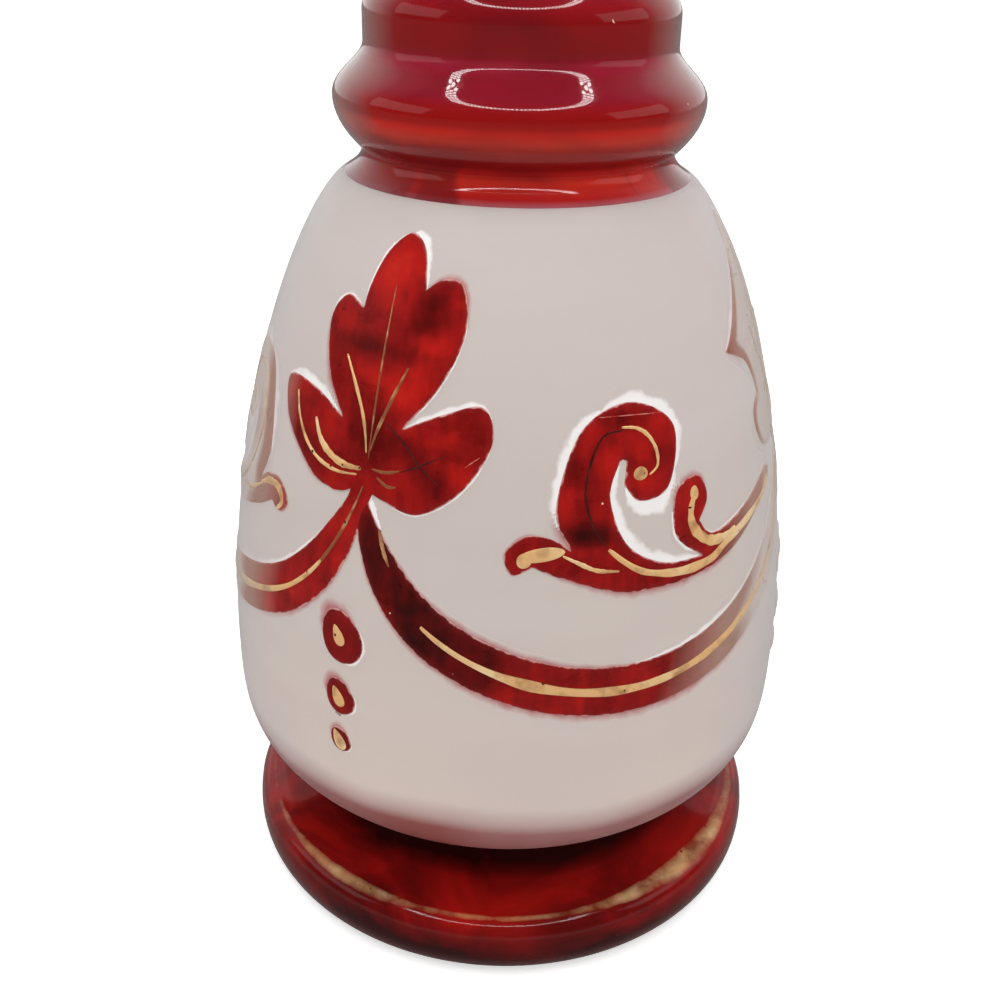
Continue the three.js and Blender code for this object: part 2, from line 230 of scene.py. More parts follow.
# Etched parts of the edges: kind, stretch of the outline, from and to within it, width
LEAF_EDGES = [
    ("clear", 1, 0.05, 0.55, 1.6),
    ("clear", 1, 0.62, 1.0, 3.8),
    ("clear", 2, 0.05, 0.6, 1.5),
    ("pink", 2, 0.55, 0.98, 3.0),
    ("clear", 3, 0.02, 0.42, 6.0),
    ("clear", 3, 0.45, 0.98, 2.2),
    ("clear", 4, 0.03, 0.4, 2.0),
    ("pink", 4, 0.35, 0.95, 4.0),
    ("clear", 5, 0.04, 0.42, 5.5),
    ("pink", 5, 0.4, 0.9, 2.5),
]
SIDE_LEAF_EDGES = [
    ("clear", 1, 0.3, 0.9, 3.0),
    ("clear", 3, 0.2, 0.9, 3.0),
    ("clear", 4, 0.02, 0.98, 5.0),
    ("pink", 5, 0.05, 0.95, 4.0),
    ("pink", 6, 0.1, 0.9, 4.0),
]
SCROLL_EDGES = [
    ("pink", 0, 0.1, 0.95, 1.5),
    ("pink", 1, 0.0, 0.12, 7.0),
    ("clear", 1, 0.07, 0.42, 9.0),
    ("clear", 1, 0.4, 0.78, 10.0),
    ("clear", 1, 0.78, 0.99, 13.0),
    ("clear", 3, 0.02, 0.98, 10.0),
    ("clear", 4, 0.05, 0.45, 3.0),
    ("pink", 4, 0.4, 0.8, 4.5),
    ("clear", 5, 0.05, 0.95, 2.5),
    ("pink", 6, 0.3, 0.98, 5.0),
]
SWAG_EDGES = [
    ("pink", 0, 0.03, 0.97, 1.4),
    ("clear", 1, 0.05, 0.5, 1.2),
    ("pink", 1, 0.5, 0.95, 1.0),
]

# A swag's ends lie aside of the leaves' axes and under their stems. Those that carry a stem lean
# back towards the axes and are wider.
SWAG_OFFSET = 2.4 * MM
SWAG_FALL = 0.8 * MM
STEM_LEAN = 3.2 * MM
STEM_GAIN = 1.0 * MM
SWAG_STEMS = [(False, False), (True, True), (False, True)]

# How far a swag's gold line reaches to either side, and where the first one swells
GOLD_SWAG_WIDTH = 1.3 * MM
GOLD_SWAG_ENDS = [(0.75, 0.98), (0.88, 0.88), (0.75, 0.88)]
GOLD_SWAG_SWELL = (0.21, 0.04)

# Size of each drop, and how much of its height the gold takes
DROPS = {"large": (1.0, 0.34), "middle": (0.71, 0.5), "small": (0.51, 0.72)}
DROP_TILT = 0.45

# How far under the stems the drops begin, and the gap from drop to drop
DROP_FALL = 14.9 * MM
DROP_GAP = 1.6 * MM


def length(name, description, default):
    """A length in metres that the panel shows."""
    return bpy.props.FloatProperty(name=name, description=description, default=default, unit="LENGTH")


def ratio(name, description, default):
    """A bare number that the panel shows."""
    return bpy.props.FloatProperty(name=name, description=description, default=default)


def tint(name, description, default):
    """A linear colour that the panel shows."""
    return bpy.props.FloatVectorProperty(
        name=name, description=description, default=default, subtype="COLOR"
    )


class BulbSizes(bpy.types.PropertyGroup):
    """Sizes of the frosted bulb."""

    waist_height: length("Waist height", "Joint with the foot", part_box("body")[0].z)
    shoulder_height: length("Shoulder height", "Joint with the neck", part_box("body")[1].z)
    belly_radius: length("Belly radius", "At the widest line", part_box("body")[1].x)
    belly_rise: length("Belly rise", "Of the widest line above the waist", 0.0265)
    waist_radius: length("Waist radius", "Where it meets the foot", 0.027)
    shoulder_radius: length("Shoulder radius", "Where it meets the neck", 0.0254)
    wall: length("Wall", "Thickness of the glass", 0.003)
    floor_rise: length("Floor", "Glass under the cavity", 0.005)


class NeckSizes(bpy.types.PropertyGroup):
    """Sizes of the stepped neck."""

    groove_radius: length("Groove radius", "Under the lowest ring", 0.0228)
    groove_rise: length("Groove rise", "Of the groove above the shoulder", 0.0034)
    first_ring_rise: length("First ring rise", "Lowest ring above the shoulder", 0.01)
    ring_pitch: length("Ring pitch", "From ring to ring", 0.0117)
    ring_radii: bpy.props.FloatVectorProperty(
        name="Ring radii", description="From the lowest ring up", size=4, unit="LENGTH",
        default=(0.0268, 0.0223, 0.0187, 0.0153),
    )
    ring_share: ratio("Ring share", "Part of the pitch above a ring's widest line", 0.6)
    slim_radius: length("Slim neck radius", "Above the rings", 0.0125)
    slim_length: length("Slim neck length", "From the top step to the flare", 0.015)
    lip_radius: length("Lip radius", "Outer edge of the lip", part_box("mouth")[1].x)
    lip_thickness: length("Lip thickness", "Height of the lip's edge", 0.0025)
    seat_radius: length("Seat radius", "Ground seat at the mouth", 0.0098)
    seat_slope: ratio("Seat slope", "Radius lost for each unit of depth", 0.05)
    bore_radius: length("Bore radius", "At the shoulder", 0.021)


class FootSizes(bpy.types.PropertyGroup):
    """Sizes of the foot."""

    rim_radius: length("Rim radius", "Widest line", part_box("foot")[1].x)
    rim_height: length("Rim height", "Of the widest line", 0.0056)
    rest_inset: length("Rest inset", "From the rim to the resting face", 0.0044)
    shoulder_inset: length("Shoulder inset", "From the rim to the shoulder", 0.0032)
    shoulder_rise: length("Shoulder rise", "Of the shoulder above the rim", 0.0049)


class OrnamentSizes(bpy.types.PropertyGroup):
    """Sizes of the relief and gilding."""

    stem_rise: length("Stem rise", "Of the leaves' stems above the belly", 0.0382)
    leaf_height: length("Leaf height", "From stem to tip", 0.0342)
    scroll_height: length("Scroll height", "From base to crown", 0.0255)
    scroll_drop: length("Scroll drop", "Of the base below the stems", 0.0107)
    swag_sag: length("Swag sag", "Fall of a swag's middle", 0.0244)
    swag_width: length("Swag width", "In the middle", 0.0076)
    swag_end_width: length("Swag end width", "At a leaf", 0.0026)
    drop_height: length("Drop height", "Of the largest drop", 0.0097)
    drop_width: length("Drop width", "Of the largest drop", 0.0081)
    relief: length("Relief", "How far the ruby stands proud", 0.0002)
    gilt: length("Gilt", "Thickness of the gilding", 0.00012)


class StopperSizes(bpy.types.PropertyGroup):
    """Sizes of the stopper."""

    plug_length: length("Plug length", "Ground part", 0.022)
    collar_radius: length("Collar radius", "Disc that rests on the lip", 0.014)
    collar_thickness: length("Collar thickness", "Height of the disc", 0.003)
    stem_length: length("Stem length", "Between disc and finial", 0.003)
    finial_radius: length("Finial radius", "Widest line of the drop", 0.0165)


class GlassColours(bpy.types.PropertyGroup):
    """Colours of glass and gilding, linear."""

    frost_high: tint("Frost, high", "Frosted glass near the neck", (0.56, 0.495, 0.465))
    frost_low: tint("Frost, low", "Frosted glass near the foot", (0.67, 0.56, 0.505))
    # Painted reflection of the ruby foot on the frost near the waist
    frost_foot_reflection: tint("Frost, waist", "Where the foot shows through", (0.28, 0.065, 0.058))
    # Bare glass, painted near white as the backdrop's light seen through it
    clear: tint("Clear", "Bare glass round the ornament", (0.86, 0.83, 0.82))
    blush: tint("Blush", "Ruby bled into the frost", (0.45, 0.17, 0.17))
    ruby_bright: tint("Ruby, bright", "Thin ruby", (0.44, 0.008, 0.005))
    ruby: tint("Ruby", "Ruby glass", (0.23, 0.0045, 0.004))
    ruby_dark: tint("Ruby, dark", "Thick ruby", (0.03, 0.002, 0.002))
    gold: tint("Gold", "Gilding", (0.86, 0.52, 0.23))
    gold_worn: tint("Gold, worn", "Rubbed gilding", (0.30, 0.10, 0.04))


GROUPS = {
    "decanter_bulb": BulbSizes,
    "decanter_neck": NeckSizes,
    "decanter_foot": FootSizes,
    "decanter_ornament": OrnamentSizes,
    "decanter_stopper": StopperSizes,
    "decanter_colours": GlassColours,
}


def settings(group):
    """Sizes or colours of one kind, as set in the panel."""
    return getattr(bpy.context.scene, "decanter_" + group)


def belly_height():
    """Height of the bulb's widest line."""
    return settings("bulb").waist_height + settings("bulb").belly_rise


def stem_height():
    """Height of the leaves' stems."""
    return belly_height() + settings("ornament").stem_rise


def add_piece(name, points, faces, body, slot, finish, nodes=()):
    """Puts vertices and faces in a smooth mesh that rides on a body and stands for CAD nodes."""
    mesh = bpy.data.meshes.new(name)
    mesh.from_pydata(points.tolist(), [], faces)
    mesh.polygons.foreach_set("use_smooth", np.ones(len(mesh.polygons), bool))
    mesh.set_sharp_from_angle(angle=CREASE)
    mesh.materials.append(finish)
    piece = bpy.data.objects.new(name, mesh)
    bpy.context.scene.collection.objects.link(piece)
    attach(piece, body)
    if nodes:
        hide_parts(*nodes)
    return piece


def set_attribute(piece, name, values):
    """Gives each vertex one number that the material reads."""
    attribute = piece.data.attributes.new(name, "FLOAT", "POINT")
    attribute.data.foreach_set("value", np.asarray(values, np.float32))


def grid_faces(rows, columns, closed):
    """Quads of a grid of vertices counted row by row; a closed one joins its last column to its first."""
    row, column = np.mgrid[0 : rows - 1, 0 : columns if closed else columns - 1]
    near = row * columns + column
    side = row * columns + (column + 1) % columns
    return np.stack([near, side, side + columns, near + columns], -1).reshape(-1, 4)


def fan(pole, first, second):
    """Triangles from a pole to the sides of a ring, given the vertices at both ends of each."""
    return np.stack([np.full(len(first), pole), first, second], -1).tolist()


def spun(profile, segments):
    """A closed profile of (radius, height) turned once about the axis.

    A place is (radius sin a, -radius cos a, height) for the angle a round the axis. Profile points
    on the axis become single poles.
    """
    profile = np.asarray(profile, float)
    angles = np.linspace(0, 2 * np.pi, segments, endpoint=False)
    has_poles = profile[0, 0] == 0
    rings = profile[1:-1] if has_poles else np.vstack([profile, profile[:1]])
    radius, height = rings[:, :1], rings[:, 1:]
    points = np.stack([
        radius * np.sin(angles), -radius * np.cos(angles), np.broadcast_to(height, (len(rings), segments))
    ], -1).reshape(-1, 3)
    faces = grid_faces(len(rings), segments, True)
    if not has_poles:
        last = (len(rings) - 1) * segments
        faces = np.where(faces >= last, faces - last, faces)
        return points[:last], faces.tolist()
    low, high = len(points), len(points) + 1
    points = np.vstack([points, [[0, 0, profile[0, 1]], [0, 0, profile[-1, 1]]]])
    around = np.arange(segments)
    after = np.roll(around, -1)
    top = (len(rings) - 1) * segments
    return points, faces.tolist() + fan(low, after, around) + fan(high, top + around, top + after)


def swell(share, sharpness, fullness):
    """Falls from 1 to 0: 1 less the share to the power sharpness, all to the power fullness."""
    return np.maximum(0, 1 - share**sharpness) ** fullness


def egg_radius(height, inset=0.0):
    """Radius of the bulb: an end's radius plus the rest of the belly's, times a swelling to that end."""
    bulb, belly = settings("bulb"), belly_height()
    low = height < belly
    end_height = np.where(low, bulb.waist_height, bulb.shoulder_height)
    end_radius = np.where(low, bulb.waist_radius, bulb.shoulder_radius) - inset
    share = np.clip((height - belly) / (end_height - belly), 0, 1)
    swelling = np.where(low, swell(share, *SWELL_BELOW), swell(share, *SWELL_ABOVE))
    return end_radius + (bulb.belly_radius - inset - end_radius) * swelling


def on_bulb(places, azimuth, lift):
    """Points at a distance from the bulb, along its normal, for arcs and heights from an azimuth."""
    arc, height = places[..., 0], places[..., 1]
    step = 0.00005
    slope = (egg_radius(height + step) - egg_radius(height - step)) / (2 * step)
    level = 1 / np.sqrt(1 + slope**2)
    radius = egg_radius(height) + lift * level
    angle = azimuth + arc / settings("bulb").belly_radius
    return np.stack([radius * np.sin(angle), -radius * np.cos(angle), height - lift * slope * level], -1)


def smooth_line(points, count):
    """Catmull-Rom curve through the points, as evenly spaced places along it."""
    points = np.asarray(points, float)
    padded = np.vstack([points[:1], points, points[-1:]])
    t = np.linspace(0, len(points) - 1, 24 * len(points))
    k = np.minimum(t.astype(int), len(points) - 2)
    s = (t - k)[:, None]
    before, near, far, after = (padded[k + i] for i in range(4))
    bend = 2 * before - 5 * near + 4 * far - after + s * (3 * (near - far) + after - before)
    return evenly(near + 0.5 * s * (far - before + s * bend), count)


def evenly(line, count):
    """The same line with evenly spaced places."""
    run = np.concatenate([[0], np.cumsum(np.linalg.norm(np.diff(line, axis=0), axis=1))])
    wanted = np.linspace(0, run[-1], count)
    return np.stack([np.interp(wanted, run, line[:, i]) for i in range(line.shape[1])], -1)


def lobed(stretches, spacing):
    """Closed outline whose stretches are smooth and meet in corners, and where each stretch starts."""
    joined = []
    for stretch, following in zip(stretches, stretches[1:] + stretches[:1]):
        rough = np.array([*stretch, following[0]], float)
        run = np.linalg.norm(np.diff(rough, axis=0), axis=1).sum()
        joined.append(smooth_line(rough, max(4, int(run / spacing)))[:-1])
    starts = np.concatenate([[0], np.cumsum([len(line) for line in joined])])
    return np.vstack(joined), starts


def turns_left(outline):
    """True for an outline that runs anticlockwise, by the sign of its area."""
    following = np.roll(outline, -1, axis=0)
    return np.sum(outline[:, 0] * following[:, 1] - outline[:, 1] * following[:, 0]) > 0


def outwards(outline):
    """Unit directions out of a closed outline, square to the line from neighbour to neighbour."""
    run = np.roll(outline, -1, axis=0) - np.roll(outline, 1, axis=0)
    out = np.stack([run[:, 1], -run[:, 0]], -1) / np.linalg.norm(run, axis=1)[:, None]
    return out if turns_left(outline) else -out


def edge_distance(points, outline):
    """Distance from each point to the closed outline."""
    start = outline[None]
    run = np.roll(outline, -1, axis=0)[None] - start
    along = ((points[:, None] - start) * run).sum(-1) / (run**2).sum(-1)
    nearest = start + np.clip(along, 0, 1)[..., None] * run
    return np.linalg.norm(points[:, None] - nearest, axis=-1).min(1)


def inside(points, outline):
    """True for points inside the closed outline, by counting the sides that a ray crosses."""
    x, y = points[:, :1], points[:, 1:]
    ax, ay = outline.T
    bx, by = np.roll(outline, -1, axis=0).T
    crosses = (ay > y) != (by > y)
    with np.errstate(divide="ignore", invalid="ignore"):
        meets = ax + (y - ay) * (bx - ax) / (by - ay)
    return (crosses & (x < meets)).sum(1) % 2 == 1


def pane(node, outline, azimuth, patches, joins=(), rise=(1, 1), spacing=0.8 * MM, band=1.5 * MM):
    """A raised ruby pane on the bulb inside a closed outline.

    Its top is triangles between the outline, four lines that follow it inwards and a square net of
    points. It rises from the edge as a quarter circle of distance over edge width, and a wall under
    its outline joins it to a back that lies in the glass. Its height runs evenly from one share of
    the relief to another over its arc. Near a join with another pane it keeps its full height and
    has no pale rim. Attributes give its tone, the distance to its edge in units of 3 mm, and a
    number that falls from 1 to 0 over the band along the edge.
    """
    shares = np.array([0.12, 0.35, 0.7, 1.1])
    rows = (outline - outwards(outline) * share * PANE_EDGE for share in shares)
    low, high = outline.min(0), outline.max(0)
    axes = (np.arange(a, b, spacing) for a, b in zip(low, high))
    net = np.stack(np.meshgrid(*axes), -1).reshape(-1, 2)
    inner = np.vstack([*rows, net])
    room = np.repeat(shares, len(outline)) * PANE_EDGE
    room = np.append(room, np.full(len(net), shares[-1] * PANE_EDGE + 0.4 * spacing))
    inner = inner[inside(inner, outline) & (edge_distance(inner, outline) > 0.93 * room)]
    places = np.vstack([outline, inner])
    found = delaunay_2d_cdt(places.tolist(), [], [list(range(len(outline)))], 0, 1e-9, False)
    flat, triangles = np.array(found[0]), np.array(found[2])
    triangles = triangles[inside(flat[triangles].mean(1), outline)]
    joined = np.zeros(len(flat))
    for arc, height in joins:
        far = np.hypot(flat[:, 0] - arc, flat[:, 1] - height)
        joined = np.maximum(joined, np.clip(2 - far / JOIN_REACH, 0, 1))
    reach = edge_distance(flat, outline)
    depth = np.maximum(np.minimum(reach / PANE_EDGE, 1), joined)
    share = (flat[:, 0] - low[0]) / (high[0] - low[0])
    height = settings("ornament").relief * (rise[0] + (rise[1] - rise[0]) * share)
    top = on_bulb(flat, azimuth, height * np.sqrt(1 - (1 - depth) ** 2))
    back = on_bulb(flat, azimuth, BURIED)
    count = len(flat)
    rim = np.linalg.norm(flat[:, None] - outline[None], axis=-1).argmin(0)
    following = np.roll(rim, -1)
    wall = np.stack([rim, rim + count, following + count, following], -1)
    wall = wall if turns_left(outline) else wall[:, ::-1]
    faces = triangles.tolist() + (triangles[:, ::-1] + count).tolist() + wall.tolist()
    points, finish = np.vstack([top, back]), shared(ruby_relief)
    piece = add_piece("ruby_" + node, points, faces, VESSEL, "ruby_relief", finish, [node])
    tone = np.zeros(count)
    for arc, height, half_arc, half_height, strength in patches:
        away = ((flat[:, 0] - arc) / half_arc) ** 2 + ((flat[:, 1] - height) / half_height) ** 2
        tone += strength * np.exp(-(away**1.5))
    set_attribute(piece, "tone", np.tile(np.clip(tone, -1.5, 1), 2))
    set_attribute(piece, "edge", np.tile(np.maximum(reach / (3 * MM), joined), 2))
    set_attribute(piece, "band", np.tile(np.clip(1.4 - reach / band, 0, 1), 2))


def strip(name, net, lifts, azimuth, finish, slot, nodes=()):
    """A thin closed strip on the bulb from a grid of places and their distances from the bulb.

    Its two lower edges lie in the glass, and each end is one face.
    """
    upper = on_bulb(net, azimuth, lifts)
    lower = on_bulb(net[:, [-1, 0]], azimuth, BURIED)
    points = np.concatenate([upper, lower], axis=1)
    rows, columns = points.shape[:2]
    last = (rows - 1) * columns
    ends = [list(range(columns))[::-1], list(range(last, last + columns))]
    faces = grid_faces(rows, columns, True).tolist() + ends
    return add_piece(name, points.reshape(-1, 3), faces, VESSEL, slot, finish, nodes)


def right_of(line):
    """Unit directions square to a line, to its right."""
    along = np.gradient(line, axis=0)
    return np.stack([along[:, 1], -along[:, 0]], -1) / np.linalg.norm(along, axis=1)[:, None]


def brushed(name, line, widths, azimuth, kind, nodes=()):
    """A line along arcs and heights: gold, worn or rubbed gold, a dark vein, a pale scratch or bare
    glass.

    Across it, from -1 to 1, the top stands at the ruby's height plus a thickness times 1 less the
    square of the place.
    """
    make, slot, share = {
        "gold": (gilding, "gilding", 1.0),
        "worn": (worn_gilding, "gilding", 0.5),
        "rubbed": (rubbed_gilding, "gilding", 0.4),
        "dark": (dark_vein, "ruby_relief", 0.25),
        "pale": (pale_scratch, "ruby_relief", 0.2),
        "bare": (clear_edge, "frosted_glass", 0.3),
    }[kind]
    ornament = settings("ornament")
    across = np.linspace(-1, 1, 9)
    net = line[:, None] + right_of(line)[:, None] * (widths[:, None, None] / 2) * across[None, :, None]
    lifts = (0 if kind == "bare" else ornament.relief) + share * ornament.gilt * (1.1 - across**2)
    piece = strip(name, net, lifts, azimuth, shared(make), slot, nodes)
    if kind == "bare":
        set_attribute(piece, "fade", np.ones(len(piece.data.vertices)))


def blob(name, outline, azimuth, lift, crown, finish):
    """A domed oval: rings from the middle of its outline outwards, which stand at the lift plus the
    crown times the root of 1 less the square of their share."""
    shares = np.sin(np.linspace(0, np.pi / 2, 9))[1:, None, None]
    middle = outline.mean(0)
    rings = middle + shares * (outline[None] - middle)
    count, rows = len(outline), len(shares) + 1
    top = on_bulb(rings, azimuth, lift + crown * np.sqrt(1 - shares[..., 0] ** 2))
    back = on_bulb(rings[-1], azimuth, BURIED)
    poles = on_bulb(np.array([middle, middle]), azimuth, np.array([lift + crown, BURIED]))
    points = np.vstack([top.reshape(-1, 3), back, poles])
    around = np.arange(count)
    after, last, pole = np.roll(around, -1), (rows - 1) * count, rows * count
    fans = fan(pole, around, after) + fan(pole + 1, last + after, last + around)
    faces = grid_faces(rows, count, True)[:, ::-1].tolist() + fans
    add_piece(name, points, faces, VESSEL, "gilding", finish)


def etched_strip(name, outline, span, width, azimuth, kind):
    """Etching along part of an outline: from just under the ruby to a width that swells as a sine."""
    picked = np.arange(int(span[0]), int(span[1]) + 1) % len(outline)
    line, out = outline[picked], outwards(outline)[picked]
    swelling = np.sin(np.pi * np.linspace(0.02, 0.98, len(picked))) ** 0.6
    across = np.linspace(0, 1, 7)[None, :, None]
    reach = across * width * swelling[:, None, None] - ETCH_TUCK * (1 - across)
    net = line[:, None] + out[:, None] * reach
    fade = 1 - across[..., 0]
    if not turns_left(outline):
        net, fade = net[:, ::-1], fade[:, ::-1]
    finish = shared(clear_edge if kind == "clear" else pink_edge)
    piece = strip(f"{kind}_edge_{name}", net, ETCH_LIFT, azimuth, finish, "frosted_glass")
    fade = np.concatenate([fade, fade[:, [-1, 0]]], axis=1)
    set_attribute(piece, "fade", np.broadcast_to(fade, (len(picked), fade.shape[1])).ravel())


def rgba(colour):
    """A colour with its alpha; a node's output stays as it is."""
    return colour if isinstance(colour, bpy.types.NodeSocket) else (*colour, 1)


class Tree:
    """The nodes of a material or world, put together step by step."""

    def __init__(self, owner):
        owner.use_nodes = True
        self.tree = owner.node_tree
        self.tree.nodes.clear()

    def add(self, kind, sockets=None, **values):
        """Adds a node. Each socket takes a constant or another node's output."""
        node = self.tree.nodes.new(kind)
        for key, value in values.items():
            setattr(node, key, value)
        for key, value in (sockets or {}).items():
            if isinstance(value, bpy.types.NodeSocket):
                self.tree.links.new(value, node.inputs[key])
            else:
                node.inputs[key].default_value = value
        return node

    def mix(self, share, first, second):
        """A share of the way from the first colour to the second."""
        sockets = {0: share, 6: rgba(first), 7: rgba(second)}
        return self.add("ShaderNodeMix", sockets, data_type="RGBA").outputs[2]

    def math(self, operation, *values):
        """The number that a named operation makes of others."""
        return self.add("ShaderNodeMath", dict(enumerate(values)), operation=operation).outputs[0]

    def plus(self, first, second):
        """The sum of two numbers."""
        return self.math("ADD", first, second)

    def times(self, first, second):
        """The product of two numbers."""
        return self.math("MULTIPLY", first, second)

    def between(self, value, low, high, start=0.0, end=1.0):
        """Runs from start to end while the value runs from low to high, and stops there."""
        sockets = {"Value": value, "From Min": low, "From Max": high, "To Min": start, "To Max": end}
        return self.add("ShaderNodeMapRange", sockets).outputs["Result"]


class Finish(Tree):
    """A material whose patterns read Object coordinates."""

    def __init__(self, name):
        self.material = bpy.data.materials.new(name)
        super().__init__(self.material)
        self.place = self.add("ShaderNodeTexCoord").outputs["Object"]

    def along(self, axis):
        """The place along X, Y or Z."""
        return self.add("ShaderNodeSeparateXYZ", {0: self.place}).outputs[axis]

    def attribute(self, name):
        """The number that set_attribute gave the vertices."""
        return self.add("ShaderNodeAttribute", attribute_name=name).outputs["Fac"]

    def noise(self, scale, detail, stretch=None, roughness=0.5, distortion=0.0, shift=(0, 0, 0)):
        """Clouds; a stretch scales the place that they read, and a shift moves it."""
        place = self.place
        if stretch:
            moved = {"Vector": place, "Scale": stretch, "Location": shift}
            place = self.add("ShaderNodeMapping", moved).outputs[0]
        sockets = {"Vector": place, "Scale": scale, "Detail": detail}
        sockets.update({"Roughness": roughness, "Distortion": distortion})
        return self.add("ShaderNodeTexNoise", sockets).outputs["Fac"]

    def spread(self, clouds, start, end):
        """Clouds lie mostly from 0.3 to 0.7; this spreads them from start to end."""
        return self.between(clouds, 0.3, 0.7, start, end)

    def dots(self, scale, size, clouds, least):
        """1 in small round dots, and only where the clouds are above a least value."""
        cells = self.add("ShaderNodeTexVoronoi", {"Vector": self.place, "Scale": scale}).outputs["Distance"]
        return self.times(self.math("GREATER_THAN", clouds, least), self.math("LESS_THAN", cells, size))

    def ramp(self, value, stops):
        """A colour by a number: each stop's own, and evenly blended between two stops."""
        node = self.add("ShaderNodeValToRGB", {"Fac": value})
        ends = node.color_ramp.elements
        while len(ends) < len(stops):
            ends.new(0.5)
        for element, (position, _) in zip(ends, stops):
            element.position = position
        for element, (_, colour) in zip(ends, stops):
            element.color = (*colour, 1)
        return node.outputs["Color"]

    def bump(self, height, distance, strength, under=None):
        """Small relief from a pattern, over the normal of another one."""
        sockets = {"Height": height, "Distance": distance, "Strength": strength}
        if under:
            sockets["Normal"] = under
        return self.add("ShaderNodeBump", sockets).outputs["Normal"]

    def grazing(self, bulb=False):
        """How flatly a surface is seen; on the bulb as if its small reliefs weren't there.

        The bulb's own normal runs along x, y and BULB_LEAN times the height above the belly.
        """
        sockets = {"Blend": 0.5}
        if bulb:
            shape = {0: self.place, 1: (1, 1, BULB_LEAN), 2: (0, 0, -BULB_LEAN * belly_height())}
            out = self.add("ShaderNodeVectorMath", shape, operation="MULTIPLY_ADD").outputs[0]
            sockets["Normal"] = self.add("ShaderNodeVectorMath", {0: out}, operation="NORMALIZE").outputs[0]
        return self.add("ShaderNodeLayerWeight", sockets).outputs["Facing"]

    def painted_sheen(self, colour, pale, low, high, most, later=0.0, bulb=False):
        """A pale sheen painted into the colour towards grazing sight, as on cased glass, which may start
        later in places.
        """
        grazing = self.grazing(bulb)
        if later:
            grazing = self.math("SUBTRACT", grazing, later)
        return self.mix(self.between(grazing, low, high, 0, most), colour, pale)

    def low_down(self):
        """How much later the sheen starts low on the bulb: later on the left, sooner on the right."""
        low = self.between(self.along("Z"), 60 * MM, 76 * MM, 1.0, 0.0)
        return self.times(low, self.between(self.along("X"), -20 * MM, 20 * MM, 0.1, -0.12))

    def held_back(self):
        """How much later the paler sheen starts, which a pane's rim holds back."""
        return self.plus(self.low_down(), self.times(self.attribute("band"), 0.16))

    def finished(self, colour, roughness, specular=0.5, normal=None, **others):
        """Ends in the shader. Other sockets are given with _ for a space, in small letters."""
        sockets = {"Base Color": colour, "Roughness": roughness, "Specular IOR Level": specular}
        if normal:
            sockets["Normal"] = normal
        sockets.update({key.replace("_", " ").title(): value for key, value in others.items()})
        shader = self.add("ShaderNodeBsdfPrincipled", sockets)
        self.add("ShaderNodeOutputMaterial", {"Surface": shader.outputs[0]})
        return self.material


def frost_colour(finish):
    """Frosted glass: pale and cool at the top with painted shade where it meets the neck, pinker below, a
    painted reflection of the ruby foot near the waist that darkens into painted shade at the waist, and a
    pale sheen painted towards grazing sight.
    """
    colours, bulb = settings("colours"), settings("bulb")
    height = finish.plus(finish.along("Z"), finish.spread(finish.noise(30, 2), -0.9 * MM, 0.9 * MM))
    rise = finish.between(height, bulb.waist_height, bulb.shoulder_height)
    low, high, waist = map(np.array, (colours.frost_low, colours.frost_high, colours.frost_foot_reflection))
    # The lowest stops are painted shade at the waist, the next a painted reflection of the ruby foot
    frost = finish.ramp(rise, [
        (0.0, waist * 0.05),
        (0.07, waist * 0.15),
        (0.095, waist * 0.9),
        (0.148, waist),
        (0.168, 0.5 * waist + 0.5 * low),
        (0.2, low),
        (0.42, 0.35 * low + 0.65 * high),
        (0.85, high),
        # Painted shade where the bulb meets the neck
        (1.0, high * 0.92),
    ])
    frost = finish.mix(finish.between(finish.noise(22, 3), 0.4, 0.68, 0, 0.3), frost, (0.57, 0.48, 0.49))
    streaks = finish.noise(60, 4, (0.25, 0.25, 1.6))
    frost = finish.mix(finish.between(streaks, 0.45, 0.75, 0, 0.1), frost, (0.80, 0.76, 0.74))
    # Pale sheen painted towards grazing sight, starting later on the underside
    under = finish.between(height, 24 * MM, 34 * MM, 0.6, 0.0)
    frost = finish.painted_sheen(frost, (0.55, 0.54, 0.55), 0.5, 0.9, 0.65, under)
    return finish.mix(finish.dots(95, 0.05, finish.noise(170, 0), 0.61), frost, (0.30, 0.22, 0.20))


def frosted_glass():
    """Satin of etched glass: fine grain and faint waves."""
    finish = Finish("satin_frost")
    waves = finish.bump(finish.noise(35, 2), 0.6 * MM, 0.2)
    normal = finish.bump(finish.noise(2600, 2), 0.02 * MM, 0.5, waves)
    roughness = finish.spread(finish.noise(120, 3), 0.42, 0.58)
    return finish.finished(frost_colour(finish), roughness, 0.35, normal)


def etched_edge(name, colour, softness):
    """Another colour that gives way to frost across the strip, with a ragged border."""
    finish = Finish(name)
    ragged = finish.noise(420, 3)
    fade = finish.plus(finish.attribute("fade"), finish.spread(ragged, -0.18, 0.18))
    share = finish.between(fade, 0.4 - softness / 2, 0.4 + softness)
    # Towards grazing sight the edge gives way to the frost: painted sheen
    share = finish.times(share, finish.between(finish.grazing(True), 0.42, 0.66, 1.0, 0.15))
    colour = finish.mix(share, frost_colour(finish), colour)
    roughness = finish.between(share, 0, 1, 0.5, 0.22)
    return finish.finished(colour, roughness, 0.35, finish.bump(ragged, 0.04 * MM, 0.5))


def clear_edge():
    """Bare glass, painted near white as the bright backdrop seen through it, which ends rather sharply in
    the frost.
    """
    return etched_edge("clear_edge", settings("colours").clear, 0.18)


def pink_edge():
    """Bled ruby, which fades softly into the frost."""
    return etched_edge("pink_edge", settings("colours").blush, 0.5)


